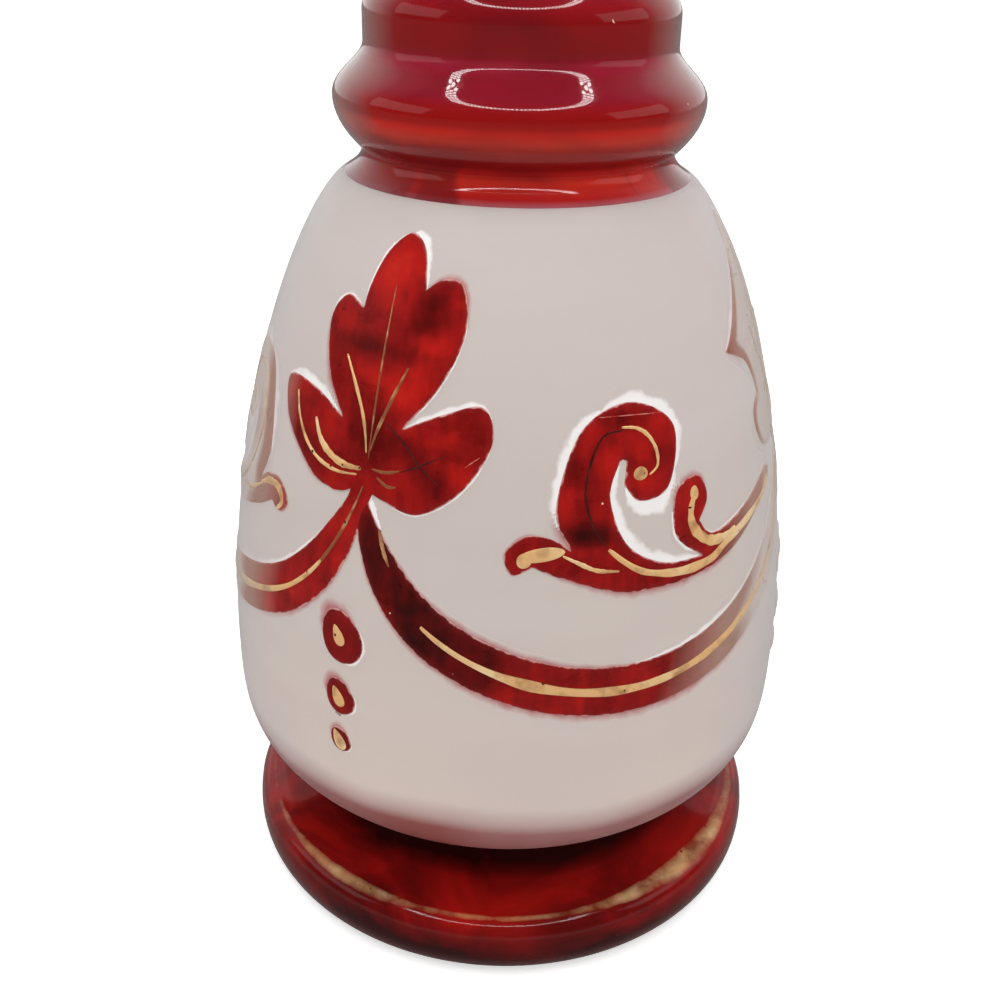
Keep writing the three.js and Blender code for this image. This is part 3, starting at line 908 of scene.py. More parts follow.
def ruby_colour(finish, shade):
    """Ruby whose depth follows a number: near black, wine, ruby, then bright with a touch of orange."""
    colours = settings("colours")
    return finish.ramp(shade, [
        (0.0, colours.ruby_dark),
        (0.28, np.array(colours.ruby) * 0.5),
        (0.5, colours.ruby),
        (0.75, colours.ruby_bright),
        (1.0, np.array(colours.ruby_bright) * (1.15, 3.4, 1.8)),
    ])


def dust(finish, colour, scale, speck, size):
    """Lone pale specks over a colour."""
    return finish.mix(finish.dots(scale, size, finish.noise(1.2 * scale, 0), 0.58), colour, speck)


def ruby_relief():
    """Flashed ruby: soft clouds and painted patches, brushed streaks, dust, a pale thin rim, and a pale
    sheen painted towards grazing sight.
    """
    finish = Finish("flashed_ruby")
    clouds = finish.noise(120, 5, (1, 1, 1.5), 0.55, 0.25)
    shade = finish.plus(finish.spread(clouds, 0.38, 0.68), finish.times(finish.attribute("tone"), 0.33))
    streaks = finish.noise(700, 2, (1, 1, 0.1))
    ruby = ruby_colour(finish, finish.plus(shade, finish.spread(streaks, -0.07, 0.07)))
    edge = finish.attribute("edge")
    ruby = finish.mix(finish.between(edge, 0.0, 0.35, 0.3, 0.0), ruby, (0.20, 0.02, 0.02))
    rim = finish.plus(edge, finish.spread(finish.noise(900, 3), -0.05, 0.05))
    ruby = finish.mix(finish.between(rim, 0.01, 0.07, 0.8, 0.0), ruby, (0.66, 0.36, 0.33))
    ruby = dust(finish, ruby, 240, (0.8, 0.62, 0.52), 0.035)
    # Brown, then pale, sheen painted towards grazing sight
    ruby = finish.painted_sheen(ruby, (0.37, 0.225, 0.18), 0.44, 0.61, 0.92, finish.low_down(), True)
    ruby = finish.painted_sheen(ruby, SHEEN, 0.52, 0.62, 0.92, finish.held_back(), True)
    waves = finish.bump(finish.noise(90, 2), 0.4 * MM, 0.2)
    return finish.finished(
        ruby, finish.spread(clouds, 0.25, 0.35), 0.1, finish.bump(streaks, 0.03 * MM, 0.6, waves)
    )


def dark_vein():
    """Deep wine line in the flashed ruby, with a pale sheen painted towards grazing sight."""
    finish = Finish("dark_vein")
    stops = [(0.35, settings("colours").ruby_dark), (0.7, (0.10, 0.006, 0.005))]
    vein = finish.ramp(finish.noise(600, 3), stops)
    # Pale sheen painted towards grazing sight
    return finish.finished(finish.painted_sheen(vein, SHEEN, 0.5, 0.7, 1.0, 0.0, True), 0.35, 0.3)


def pale_scratch():
    """Scratch in the ruby that shows paler glass here and there."""
    finish = Finish("pale_scratch")
    stops = [(0.4, settings("colours").ruby_bright), (0.62, (0.6, 0.24, 0.18))]
    return finish.finished(finish.ramp(finish.noise(900, 3), stops), 0.4, 0.3)


def ruby_glass():
    """Solid ruby of the neck: raspberry painted as sheen on the swell of each ring, an orange red glow
    painted near the bulb with painted shade in the groove, and a pale sheen painted towards grazing sight.
    """
    finish = Finish("solid_ruby")
    neck, low = settings("neck"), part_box("neck")[0].z
    height = finish.along("Z")
    ring_start = low + neck.first_ring_rise - neck.ring_pitch * (1 - neck.ring_share)
    place = finish.math("DIVIDE", finish.math("SUBTRACT", height, ring_start), neck.ring_pitch)
    # Ruby by the place within each ring's pitch, with a raspberry sheen painted where each ring swells in to
    # the step above
    ring = finish.ramp(finish.math("FRACT", place), [
        (0.0, (0.27, 0.014, 0.030)),
        (0.08, (0.21, 0.006, 0.010)),
        (0.15, (0.21, 0.004, 0.005)),
        (0.42, (0.22, 0.004, 0.005)),
        (0.60, (0.24, 0.006, 0.010)),
        (0.68, (0.215, 0.007, 0.018)),
        (0.85, (0.21, 0.006, 0.014)),
        (0.95, (0.26, 0.010, 0.026)),
        (1.0, (0.27, 0.014, 0.030)),
    ])
    # Painted glow of light through the ruby near the bulb, with a painted dark line of shade at the groove
    glow = finish.ramp(finish.between(height, low, low + 12 * MM), [
        (0.0, (0.36, 0.10, 0.12)),
        (0.06, (0.42, 0.014, 0.013)),
        (0.22, (0.60, 0.028, 0.015)),
        (0.32, (0.42, 0.010, 0.010)),
        (0.38, (0.20, 0.005, 0.005)),
        (0.56, (0.26, 0.007, 0.004)),
        (0.67, (0.45, 0.026, 0.012)),
        (0.78, (0.47, 0.009, 0.003)),
        (0.84, (0.29, 0.004, 0.002)),
    ])
    slim = low + neck.first_ring_rise + neck.ring_pitch * (len(neck.ring_radii) - 1 + neck.ring_share)
    ring = finish.mix(finish.between(height, slim - 2 * MM, slim + 2 * MM), ring, (0.22, 0.005, 0.009))
    ruby = finish.mix(finish.between(height, low + 10 * MM, low + 13 * MM), glow, ring)
    clouds = finish.noise(42, 3, (1, 1, 1.8), 0.5, 0.5)
    ruby = finish.mix(finish.between(clouds, 0.46, 0.68, 0, 0.65), ruby, (0.12, 0.004, 0.007))
    blocks = finish.between(finish.noise(75, 1, (1, 1, 0.3), 0.3, 1.2), 0.53, 0.6)
    fading = finish.between(height, low + 3 * MM, low + 9 * MM, 0.6, 0)
    ruby = finish.mix(finish.times(fading, blocks), ruby, (0.10, 0.006, 0.008))
    ruby = dust(finish, ruby, 150, (0.75, 0.42, 0.28), 0.07)
    # Pale sheen painted towards grazing sight, later on the underside
    underside = finish.between(height, low + 5 * MM, low + 9 * MM, 0.35, 0.0)
    ruby = finish.painted_sheen(ruby, (0.29, 0.185, 0.165), 0.4, 0.85, 0.8, underside)
    waves = finish.bump(finish.noise(45, 2), 0.6 * MM, 0.3)
    return finish.finished(ruby, 0.12, 0.06, waves, coat_weight=0.7, coat_roughness=0.025)


def foot_colour(finish):
    """Ruby of the foot: nearly black in painted shade at the waist, mottled wine and red towards the rim,
    darker in painted shade low on the rim, with a pale sheen painted towards grazing sight.
    """
    foot, waist = settings("foot"), settings("bulb").waist_radius
    level = {0: finish.place, 1: (1, 1, 0)}
    flat = finish.add("ShaderNodeVectorMath", level, operation="MULTIPLY").outputs[0]
    radius = finish.add("ShaderNodeVectorMath", {0: flat}, operation="LENGTH").outputs["Value"]
    clouds = finish.noise(50, 4, (1, 1, 1.6), 0.55, 0.9, (0.35, 0.1, 0))
    # Painted shade under the bulb: darker near the waist
    near = finish.between(radius, waist + 4.5 * MM, waist + 8 * MM, -0.6, 0.0)
    # Painted shade: darker low on the rim
    side = finish.between(finish.along("Z"), foot.rim_height - 3 * MM, foot.rim_height + 5 * MM, -0.62, 0.03)
    shade = finish.plus(finish.spread(clouds, 0.2, 0.76), finish.plus(near, side))
    # Pale sheen painted towards grazing sight
    return finish.painted_sheen(ruby_colour(finish, shade), (0.20, 0.07, 0.06), 0.5, 0.85, 0.45)


def foot_glass():
    """Solid ruby of the foot."""
    finish = Finish("foot_ruby")
    waves = finish.bump(finish.noise(45, 2), 0.6 * MM, 0.3)
    return finish.finished(foot_colour(finish), 0.12, 0.05, waves, coat_weight=0.4, coat_roughness=0.05)


def gold_finish(name, worn, under=None, bulb=True):
    """Fired gold with cream spots painted as highlights, pitted with dark dots and rubbed, with a pale sheen
    painted towards grazing sight, and gone where an attribute called wear says.
    """
    finish, colours = Finish(name), settings("colours")
    # Cream spots at random: painted highlights on the gold
    bright = finish.between(finish.noise(130, 2), 0.5, 0.66, 0.0, 0.8)
    rubbed = finish.between(finish.noise(240, 4), 0.52 - worn, 0.74 - worn)
    gold = finish.mix(rubbed, finish.mix(bright, colours.gold, (1.0, 0.78, 0.45)), colours.gold_worn)
    gold = finish.mix(finish.dots(620, 0.15, finish.noise(520, 0), 0.6), gold, (0.05, 0.02, 0.012))
    # Pale sheen painted towards grazing sight
    gold = finish.painted_sheen(gold, (0.58, 0.50, 0.42), 0.5, 0.85, 0.95 if bulb else 0.5, 0.0, bulb)
    grain = finish.bump(finish.noise(1500, 3), 0.05 * MM, 0.6)
    if not under:
        roughness = finish.spread(finish.noise(800, 3), 0.32, 0.5)
        return finish.finished(gold, roughness, 0.2, grain, metallic=0.3)
    ragged = finish.spread(finish.noise(330, 4), -0.12, 0.12)
    gone = finish.between(finish.plus(finish.attribute("wear"), ragged), 0.15, 0.95)
    return finish.finished(
        finish.mix(gone, gold, under(finish)),
        finish.math("MULTIPLY_ADD", gone, -0.3, 0.42),
        0.2,
        grain,
        metallic=finish.between(gone, 0, 0.6, 0.3, 0.0),
        coat_weight=0.4,
        coat_roughness=0.03,
    )


def gilding():
    """Gold of the drawn lines and spots."""
    return gold_finish("fired_gold", 0.0)


def worn_gilding():
    """Gold that is rubbed brown in many places."""
    return gold_finish("worn_gold", 0.24)


def rubbed_gilding():
    """Gold that is rubbed brown nearly all over."""
    return gold_finish("rubbed_gold", 0.3)


def foot_gilding():
    """Gold of the foot's rim, worn through to its ruby."""
    return gold_finish("foot_gold", 0.1, foot_colour, False)


def band_gilding():
    """Gold of the bands on lip and collar."""
    return gold_finish("band_gold", 0.05, None, False)


def ground_glass():
    """Clear glass with a ground surface."""
    finish = Finish("ground_surface")
    grain = finish.noise(1800, 3)
    colour = finish.ramp(grain, [(0.3, (0.74, 0.72, 0.70)), (0.7, (0.86, 0.84, 0.82))])
    return finish.finished(colour, 0.5, normal=finish.bump(grain, 0.03 * MM, 0.5), transmission_weight=0.3)


FINISHES = {}


def shared(make):
    """The material that a function makes, made once."""
    if make not in FINISHES:
        FINISHES[make] = make()
    return FINISHES[make]


def neck_profile():
    """Outline of the neck, up the outside and down the bore.

    A curve with a square law falls in to the groove. Each ring swells as 1 less the square of what
    is left to its widest line and leads in to the step above as 3 squares less 2 cubes of its rise.
    """
    neck, bulb = settings("neck"), settings("bulb")
    s = np.linspace(0, 1, 13)
    shoulder = bulb.shoulder_height
    parts = [np.stack([
        neck.groove_radius + (bulb.shoulder_radius - neck.groove_radius) * (1 - s) ** 2,
        shoulder + neck.groove_rise * s,
    ], -1)]
    low = parts[0][-1]
    fuller = s[1:] ** 1.15
    radii = [*neck.ring_radii, neck.slim_radius]
    for i, radius in enumerate(neck.ring_radii):
        widest = shoulder + neck.first_ring_rise + neck.ring_pitch * i
        if i == 0:
            widest += FIRST_RING_LIFT
        step = np.array([radii[i + 1], widest + neck.ring_pitch * neck.ring_share])
        swelling = 1 - (1 - s[1:]) ** 2
        parts.append(np.stack([
            low[0] + (radius - low[0]) * swelling, low[1] + (widest - low[1]) * s[1:]
        ], -1))
        parts.append(np.stack([
            radius - (radius - step[0]) * fuller**2 * (3 - 2 * fuller), widest + (step[1] - widest) * s[1:]
        ], -1))
        low = step
    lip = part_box("mouth")[1].z
    flare_start = low[1] + neck.slim_length
    flare = np.stack([
        neck.slim_radius + (neck.lip_radius - neck.slim_radius) * s**2,
        flare_start + (lip - neck.lip_thickness - flare_start) * s,
    ], -1)
    seat_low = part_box("mouth")[0].z
    seat = np.array([
        [neck.lip_radius, lip],
        [neck.seat_radius, lip],
        [neck.seat_radius - (lip - seat_low) * neck.seat_slope, seat_low],
        [neck.groove_radius - GROOVE_WALL, shoulder + neck.groove_rise],
        [neck.bore_radius, shoulder],
    ])
    return np.vstack([*parts, flare, seat])


def foot_profile():
    """Outline of the foot: quarter ovals under and over the rim, then a hollow rise to the waist."""
    foot, bulb = settings("foot"), settings("bulb")
    s = np.linspace(0, 1, 17)
    angle = s * np.pi / 2
    rest = foot.rim_radius - foot.rest_inset
    under = np.stack([rest + foot.rest_inset * np.sin(angle), foot.rim_height * (1 - np.cos(angle))], -1)
    over = rim_line(angle[1:], 0)
    return np.vstack([[[0, 0]], under, over, foot_rise(s[1:]), [[0, bulb.waist_height]]])


def foot_rise(share):
    """The hollow rise from the rim's shoulder in to the waist."""
    foot, bulb = settings("foot"), settings("bulb")
    shoulder = foot.rim_radius - foot.shoulder_inset
    top = foot.rim_height + foot.shoulder_rise
    return np.stack([
        shoulder - (shoulder - bulb.waist_radius) * (1 - (1 - share) ** 1.15),
        top + (bulb.waist_height - top) * share**1.6,
    ], -1)


def rim_line(angle, lift):
    """The foot's rounded rim, at angles above its widest line: an oval round the shoulder whose
    cosine and sine are raised to the power 0.8, so it is a little squarer than a true oval."""
    foot = settings("foot")
    return np.stack([
        foot.rim_radius - foot.shoulder_inset + (foot.shoulder_inset + lift) * np.cos(angle).clip(0) ** 0.8,
        foot.rim_height + (foot.shoulder_rise + lift) * np.sin(angle) ** 0.8,
    ], -1)


class DECANTER_OT_bulb(bpy.types.Operator):
    """Blow the frosted bulb"""

    bl_idname = "decanter.bulb"
    bl_label = "Bulb"

    def execute(self, context):
        bulb, belly = settings("bulb"), belly_height()
        s = np.linspace(0, 1, 61)
        below = bulb.waist_height + (belly - bulb.waist_height) * s**1.3
        above = belly + (bulb.shoulder_height - belly) * np.sin(s[1:] * np.pi / 2)
        heights = np.concatenate([below, above])
        outside = np.stack([egg_radius(heights), heights], -1)
        floor = bulb.waist_height + bulb.floor_rise
        inner = floor + (heights[::-2] - bulb.waist_height) * (
            (bulb.shoulder_height - floor) / (bulb.shoulder_height - bulb.waist_height)
        )
        inside_wall = np.stack([egg_radius(inner, bulb.wall), inner], -1)
        profile = np.vstack([[[0, bulb.waist_height]], outside, inside_wall, [[0, floor]]])
        points, faces = spun(profile, 240)
        add_piece("bulb", points, faces, VESSEL, "frosted_glass", shared(frosted_glass), ["body"])
        return {"FINISHED"}


class DECANTER_OT_neck(bpy.types.Operator):
    """Shape the stepped neck with its lip"""

    bl_idname = "decanter.neck"
    bl_label = "Neck"

    def execute(self, context):
        points, faces = spun(neck_profile(), 192)
        finish = shared(ruby_glass)
        add_piece("neck_rings", points, faces, VESSEL, "ruby_glass", finish, ["neck", "mouth"])
        return {"FINISHED"}


class DECANTER_OT_foot(bpy.types.Operator):
    """Press the ruby foot"""

    bl_idname = "decanter.foot"
    bl_label = "Foot"

    def execute(self, context):
        points, faces = spun(foot_profile(), 192)
        add_piece("ruby_foot", points, faces, VESSEL, "ruby_glass", shared(foot_glass), ["foot"])
        return {"FINISHED"}


def festoons():
    """Number, azimuth, next azimuth and span at the belly of each festoon between two leaves."""
    for i, azimuth in enumerate(LEAF_AZIMUTHS):
        following = LEAF_AZIMUTHS[(i + 1) % len(LEAF_AZIMUTHS)]
        span = ((following - azimuth) % (2 * np.pi)) * settings("bulb").belly_radius
        yield i + 1, azimuth, following, span


def mirror(number):
    """-1 for the second leaf and its drops, which are mirrored, and 1 for the others."""
    return -1 if number == 2 else 1


def leaf_places(points, number):
    """Arcs and heights on the bulb for a leaf's hundredths."""
    hundredth = settings("ornament").leaf_height / 100
    return np.asarray(points, float) * (mirror(number) * hundredth, hundredth) + (0, stem_height())


def scroll_places(points, turn, hook):
    """Arcs and heights on the bulb for a scroll's hundredths, with its hook at an arc."""
    ornament = settings("ornament")
    arcs = np.asarray(points, float) * (ornament.scroll_height / 100)
    return (arcs + (hook, stem_height() - ornament.scroll_drop)) * (turn, 1)


def etch_edges(name, outline, starts, edges, azimuth, unit):
    """Clear and pink strips along named parts of an outline, with their widths in a unit."""
    for k, (kind, stretch, first, last, width) in enumerate(edges):
        low, high = starts[stretch], starts[stretch + 1]
        span = (low + first * (high - low), low + last * (high - low))
        etched_strip(f"{name}_{k}", outline, span, width * unit, azimuth, kind)


class DECANTER_OT_leaves(bpy.types.Operator):
    """Raise the three ruby leaves"""

    bl_idname = "decanter.leaves"
    bl_label = "Leaves"

    def execute(self, context):
        hundredth = settings("ornament").leaf_height / 100
        for number, azimuth, _, _ in festoons():
            stretches, edges = LEAF_OUTLINE, LEAF_EDGES
            if number == 2:
                stretches, edges = SIDE_LEAF_OUTLINE, SIDE_LEAF_EDGES
            places, starts = lobed(stretches, 1.6)
            outline = places * hundredth + (0, stem_height())
            joins = leaf_places([[-4, 3], [-1, 4], [3, 5], [7, 6]], number)
            patches = [
                (*leaf_places([arc, height], number), a * hundredth, b * hundredth, 0.75 * tone)
                for arc, height, a, b, tone in LEAF_PATCHES
            ]
            name = f"leaf_{number}"
            pane(name, outline, azimuth, patches, joins)
            etch_edges(name, outline, starts, edges, azimuth, hundredth)
        return {"FINISHED"}


def scroll_frame(number, azimuth, following, span):
    """Base azimuth, mirror sign, arc of the hook and hundredths to the tail's tip, which ends clear
    of the next leaf."""
    side, hook = SCROLL_SIDES[number - 1]
    tip = 100 * (span - TAIL_ROOM - hook * MM) / settings("ornament").scroll_height
    return (azimuth, 1, hook * MM, tip) if side == "start" else (following, -1, hook * MM, tip)


class DECANTER_OT_scrolls(bpy.types.Operator):
    """Raise the three ruby scrolls"""

    bl_idname = "decanter.scrolls"
    bl_label = "Scrolls"

    def execute(self, context):
        hundredth = settings("ornament").scroll_height / 100
        for number, azimuth, following, span in festoons():
            base, turn, hook, tip = scroll_frame(number, azimuth, following, span)
            slant = TAIL_SLANT / hundredth
            tail = [
                [[124, 30], [136, 20], [tip - 2.2 * slant, 26]],
                [[tip, 40], [tip - 1.3 * slant, 19], [139, 2], [77, 0], [42, 9]],
            ]
            head = [ROUND_HOOK, *SCROLL_OUTLINE[1:]] if number == 3 else SCROLL_OUTLINE
            places, starts = lobed(head + tail, 2.0)
            outline = scroll_places(places, turn, hook)
            patches = [
                (*scroll_places([arc, height], turn, hook), a * hundredth, b * hundredth, tone)
                for arc, height, a, b, tone in SCROLL_PATCHES
            ]
            name = f"scroll_{number}"
            pane(name, outline, base, patches, band=4 * MM)
            etch_edges(name, outline, starts, SCROLL_EDGES, base, hundredth)
        return {"FINISHED"}


def swag_line(number, span, first, last, count):
    """Hanging line between two leaves, from one place to another, counted from -1 to 1.

    Its height is a parabola of the place, with an eighth power that steepens its ends. An end that
    carries a leaf's stem leans in to the leaf's axis by a smooth step.
    """
    ornament = settings("ornament")
    side = np.linspace(first, last, count)
    reach = span / 2 - SWAG_OFFSET
    rise = 0.65 * side**2 + 0.35 * side**8
    lean = np.clip((np.abs(side) - 0.25) / 0.5, 0, 1)
    lean = STEM_LEAN * lean**2 * (3 - 2 * lean) * carries_stem(number, side)
    height = stem_height() - SWAG_FALL - ornament.swag_sag * (1 - rise)
    return np.stack([span / 2 + side * reach + np.sign(side) * lean, height], -1), side


def carries_stem(number, side):
    """True where that end of a swag runs up into a leaf as its stem."""
    start, end = SWAG_STEMS[number - 1]
    return np.where(side < 0, start, end)


class DECANTER_OT_swags(bpy.types.Operator):
    """Hang the three ruby swags"""

    bl_idname = "decanter.swags"
    bl_label = "Swags"

    def execute(self, context):
        ornament = settings("ornament")
        for number, azimuth, _, span in festoons():
            line, side = swag_line(number, span, -1.03, 1.03, 181)
            stem = carries_stem(number, side)
            near = np.minimum(np.abs(side), 1)
            end = ornament.swag_end_width + stem * STEM_GAIN
            fullness = np.where(stem, (1 - near**10) ** 0.9, (1 - near**9) ** 0.9)
            widths = end + (ornament.swag_width - end) * fullness
            half = right_of(line) * widths[:, None] / 2
            outline = np.vstack([line + half, (line - half)[::-1]])
            rise = [0.9 if carried else 0.75 for carried in SWAG_STEMS[number - 1]]
            patches = []
            for place, strength in ((0.94, 1.0), (0.76, 1.0), (0.6, 0.6)):
                for k, carried in zip((-1, 1), SWAG_STEMS[number - 1]):
                    arc, height = line[np.abs(side - k * place).argmin()]
                    strength = strength if k < 0 else 0.3 * strength
                    patches.append((arc, height, 5 * MM, 7 * MM, strength * (0.2 if carried else -1.5)))
            name = f"swag_{number}"
            pane(name, outline, azimuth, patches, line[[0, -1]], rise, band=5 * MM)
            etch_edges(name, outline, [0, len(line), 2 * len(line)], SWAG_EDGES, azimuth, MM)
        return {"FINISHED"}


def egg(height, width, tilt, taper=0.12):
    """An oval that narrows to its top by the sine of the angle round it, then leans by a tilt."""
    angle = np.linspace(0, 2 * np.pi, 49)[:-1] + np.pi / 2
    narrow = 1 - taper - taper * np.sin(angle)
    oval = np.stack([width / 2 * narrow * np.cos(angle), height / 2 * np.sin(angle)], -1)
    turn = np.array([[np.cos(tilt), -np.sin(tilt)], [np.sin(tilt), np.cos(tilt)]])
    return oval @ turn.T


def drop_places():
    """Name, middle height, scale and share of gold of each drop under a leaf, from the top down."""
    top = stem_height() - DROP_FALL
    for size, (scale, gold) in DROPS.items():
        height = settings("ornament").drop_height * scale
        yield size, top - height / 2, scale, gold
        top -= height + DROP_GAP


class DECANTER_OT_drops(bpy.types.Operator):
    """Raise the drops under each leaf"""

    bl_idname = "decanter.drops"
    bl_label = "Drops"

    def execute(self, context):
        ornament = settings("ornament")
        for number, azimuth, _, _ in festoons():
            crown = (-0.22, 0.22) if mirror(number) > 0 else (0.54, 0.98)
            for size, middle, scale, _ in drop_places():
                name = f"drop_{number}_{size}"
                height, width = ornament.drop_height * scale, ornament.drop_width * scale
                outline = egg(0.88 * height, width, DROP_TILT * mirror(number)) + (0, middle - 0.04 * height)
                patches = [(0, middle, 20 * MM, 20 * MM, -0.5)]
                pane(name, outline, azimuth, patches, spacing=0.5 * MM)
                for kind, share, reach in (("pink", crown, 1.95), ("clear", (0.45, 0.8), 0.78)):
                    span = np.multiply(share, len(outline))
                    etched_strip(name, outline, span, reach * MM * scale, azimuth, kind)
        return {"FINISHED"}


def tapered(count, width, tip=0.3):
    """Width along a brushed line: narrow at both ends, full between them, with an unsteady hand."""
    s = np.linspace(0, 1, count)
    hand = 1 + 0.1 * np.sin(6 * s * np.pi + 1) + 0.07 * np.sin(17 * s * np.pi)
    return width * hand * (tip + (1 - tip) * np.sin(np.pi * s) ** 0.6)


def hill(places, middle, spread):
    """1 at the middle, falling off to both sides as a bell."""
    return np.exp(-(((places - middle) / spread) ** 2))


class DECANTER_OT_gilding(bpy.types.Operator):
    """Brush the gold lines on leaves, swags, scrolls and drops"""

    bl_idname = "decanter.gilding"
    bl_label = "Gold lines"

    def execute(self, context):
        ornament = settings("ornament")
        leaf_hundredth = ornament.leaf_height / 100
        scroll_hundredth = ornament.scroll_height / 100
        for number, azimuth, following, span in festoons():
            leaf_lines = {**LEAF_LINES, **LEAF_WEAR} if number == 1 else LEAF_LINES
            for name, (points, width, kind) in leaf_lines.items():
                line = leaf_places(smooth_line(points, 40), number)
                widths = tapered(40, width * leaf_hundredth)
                brushed(f"{kind}_leaf_{number}_{name}", line, widths, azimuth, kind)
            left, right = GOLD_SWAG_ENDS[number - 1]
            line, _ = swag_line(number, span, -left, right, 121)
            widths = tapered(121, GOLD_SWAG_WIDTH)
            if number == 1:
                widths = widths * (1 + 0.9 * hill(np.linspace(0, 1, 121), *GOLD_SWAG_SWELL))
            brushed(f"gold_swag_{number}", line, widths, azimuth, "gold", [f"swag_gilt_{number}"])
            for k, name, carried in zip((-1, 1), ("left", "right"), SWAG_STEMS[number - 1]):
                if carried:
                    line, _ = swag_line(number, span, 0.82 * k, 1.03 * k, 40)
                    widths = tapered(40, 0.4 * GOLD_SWAG_WIDTH)
                    brushed(f"worn_swag_{number}_{name}", line, widths, azimuth, "worn")
            base, turn, hook, tip = scroll_frame(number, azimuth, following, span)
            lines = dict(SCROLL_LINES)
            if number > 1:
                del lines["scratch"]
                lines["vein"] = (lines["vein"][0], 2.4, "gold")
            if number == 3:
                lines["hook"] = (ROUND_HOOK_LINE, 4.5, "gold")
            lines["base"] = (SCROLL_BASE_LINE + [[tip - 12, 25], [tip - 3, 35]], 5.0, "gold")
            for name, (points, width, kind) in lines.items():
                line = scroll_places(smooth_line(points, 60), turn, hook)
                widths = tapered(60, width * scroll_hundredth)
                brushed(f"{kind}_scroll_{number}_{name}", line, widths, base, kind)
            finish, relief, gilt = shared(gilding), ornament.relief, ornament.gilt
            for name, (arc, height, (across, up), tilt) in SCROLL_BLOBS.items():
                if number == 3 and name.startswith("hook"):
                    continue
                outline = egg(up * scroll_hundredth, across * scroll_hundredth, tilt * turn, 0.05)
                outline = outline + scroll_places([arc, height], turn, hook)
                blob(f"gold_scroll_{number}_{name}", outline, base, relief, gilt, finish)
            for size, middle, scale, gold in drop_places():
                height = ornament.drop_height * scale * gold
                outline = egg(height, 0.75 * height, DROP_TILT * mirror(number), 0.3)
                outline = outline + (-mirror(number) * 0.4 * MM * scale, middle - 0.3 * MM)
                blob(f"gold_drop_{number}_{size}", outline, azimuth, relief, 1.6 * gilt, finish)
        return {"FINISHED"}


class DECANTER_OT_bands(bpy.types.Operator):
    """Gild the foot's rim, the lip and the stopper's collar"""

    bl_idname = "decanter.bands"
    bl_label = "Gold bands"

    def execute(self, context):
        finish, worn = shared(band_gilding), shared(foot_gilding)
        neck, stopper, foot = settings("neck"), settings("stopper"), settings("foot")
        angle = np.radians(np.linspace(28, 90, 21))
        rise = foot_rise(np.linspace(0.01, 0.09, 10))
        lines = [np.vstack([rim_line(angle, lift), rise + (0, lift)]) for lift in (0.07 * MM, BURIED)]
        points, faces = spun(np.vstack([lines[0], lines[1][::-1]]), 240)
        band = add_piece("gold_foot_band", points, faces, VESSEL, "gilding", worn, ["foot_gilt_band"])
        reach = np.linalg.norm(points[:, :2], axis=1)
        turn = np.arctan2(points[:, 0], -points[:, 1])
        right, left = hill(turn, 0.85, 0.42), hill(turn, -0.62, 0.3)
        middle = foot.rim_radius - (2.6 + 0.4 * right) * MM
        width = (0.9 + 0.9 * right + 0.5 * left) * MM
        wear = 0.78 - 0.5 * right - 0.3 * left + 0.7 * ((reach - middle) / width) ** 2
        wear += 0.15 * hill(turn, -1.5, 0.4) - 0.2 * hill(turn, 2.4, 0.6)
        set_attribute(band, "wear", wear)
        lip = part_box("mouth")[1].z
        collar = lip + stopper.collar_thickness
        edges = [
            ("gold_lip_band", neck.lip_radius, lip - neck.lip_thickness, lip, VESSEL, "lip_gilt_band"),
            ("gold_collar_band", stopper.collar_radius, lip, collar, STOPPER, "stopper_gilt_band"),
        ]
        for name, radius, low, high, body, node in edges:
            outside, backing, low, high = radius - BURIED, radius + BURIED, low + 0.2 * MM, high - 0.2 * MM
            points, faces = spun([[outside, low], [outside, high], [backing, high], [backing, low]], 160)
            add_piece(name, points, faces, body, "gilding", finish, [node])
        return {"FINISHED"}


class DECANTER_OT_stopper(bpy.types.Operator):
    """Make the stopper"""

    bl_idname = "decanter.stopper"
    bl_label = "Stopper"

    def execute(self, context):
        stopper = settings("stopper")
        low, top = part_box("stopper_finial")
        plug_low, plug_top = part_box("stopper_plug")
        plug = [[0, plug_low.z], [plug_top.x - stopper.plug_length / 20, plug_low.z],
                [plug_top.x, plug_top.z], [0, plug_top.z]]
        points, faces = spun(plug, 96)
        ground = shared(ground_glass)
        add_piece("ground_plug", points, faces, STOPPER, "ground_glass", ground, ["stopper_plug"])
        s = np.linspace(0, 1, 48)
        share = 0.1 + 0.9 * s
        radius = stopper.finial_radius * np.maximum(np.sin(np.pi * share**0.8), 0) ** 0.9
        stem_top = low.z + stopper.collar_thickness + stopper.stem_length
        drop = np.stack([radius, stem_top + (top.z - stem_top) * s], -1)
        drop[-1, 0] = 0
        collar, seat = stopper.collar_radius, low.z + stopper.collar_thickness
        disc = [[0, low.z], [collar, low.z], [collar, seat], [radius[0], seat]]
        points, faces = spun(np.vstack([disc, drop]), 128)
        ruby = shared(ruby_glass)
        add_piece("drop_finial", points, faces, STOPPER, "ruby_glass", ruby, ["stopper_finial"])
        return {"FINISHED"}


def stage_floor():
    """Pale floor that keeps the shadow and is white to the camera."""
    finish = Finish("stage_floor")
    rays = finish.add("ShaderNodeLightPath").outputs
    seen = finish.math("MAXIMUM", rays["Is Camera Ray"], rays["Is Transmission Ray"])
    colour = finish.mix(rays["Is Glossy Ray"], (0.86, 0.855, 0.85), (0.3, 0.29, 0.29))
    glow = finish.times(seen, 0.55)
    return finish.finished(colour, 0.9, 0.0, emission_color=(1, 1, 1, 1), emission_strength=glow)


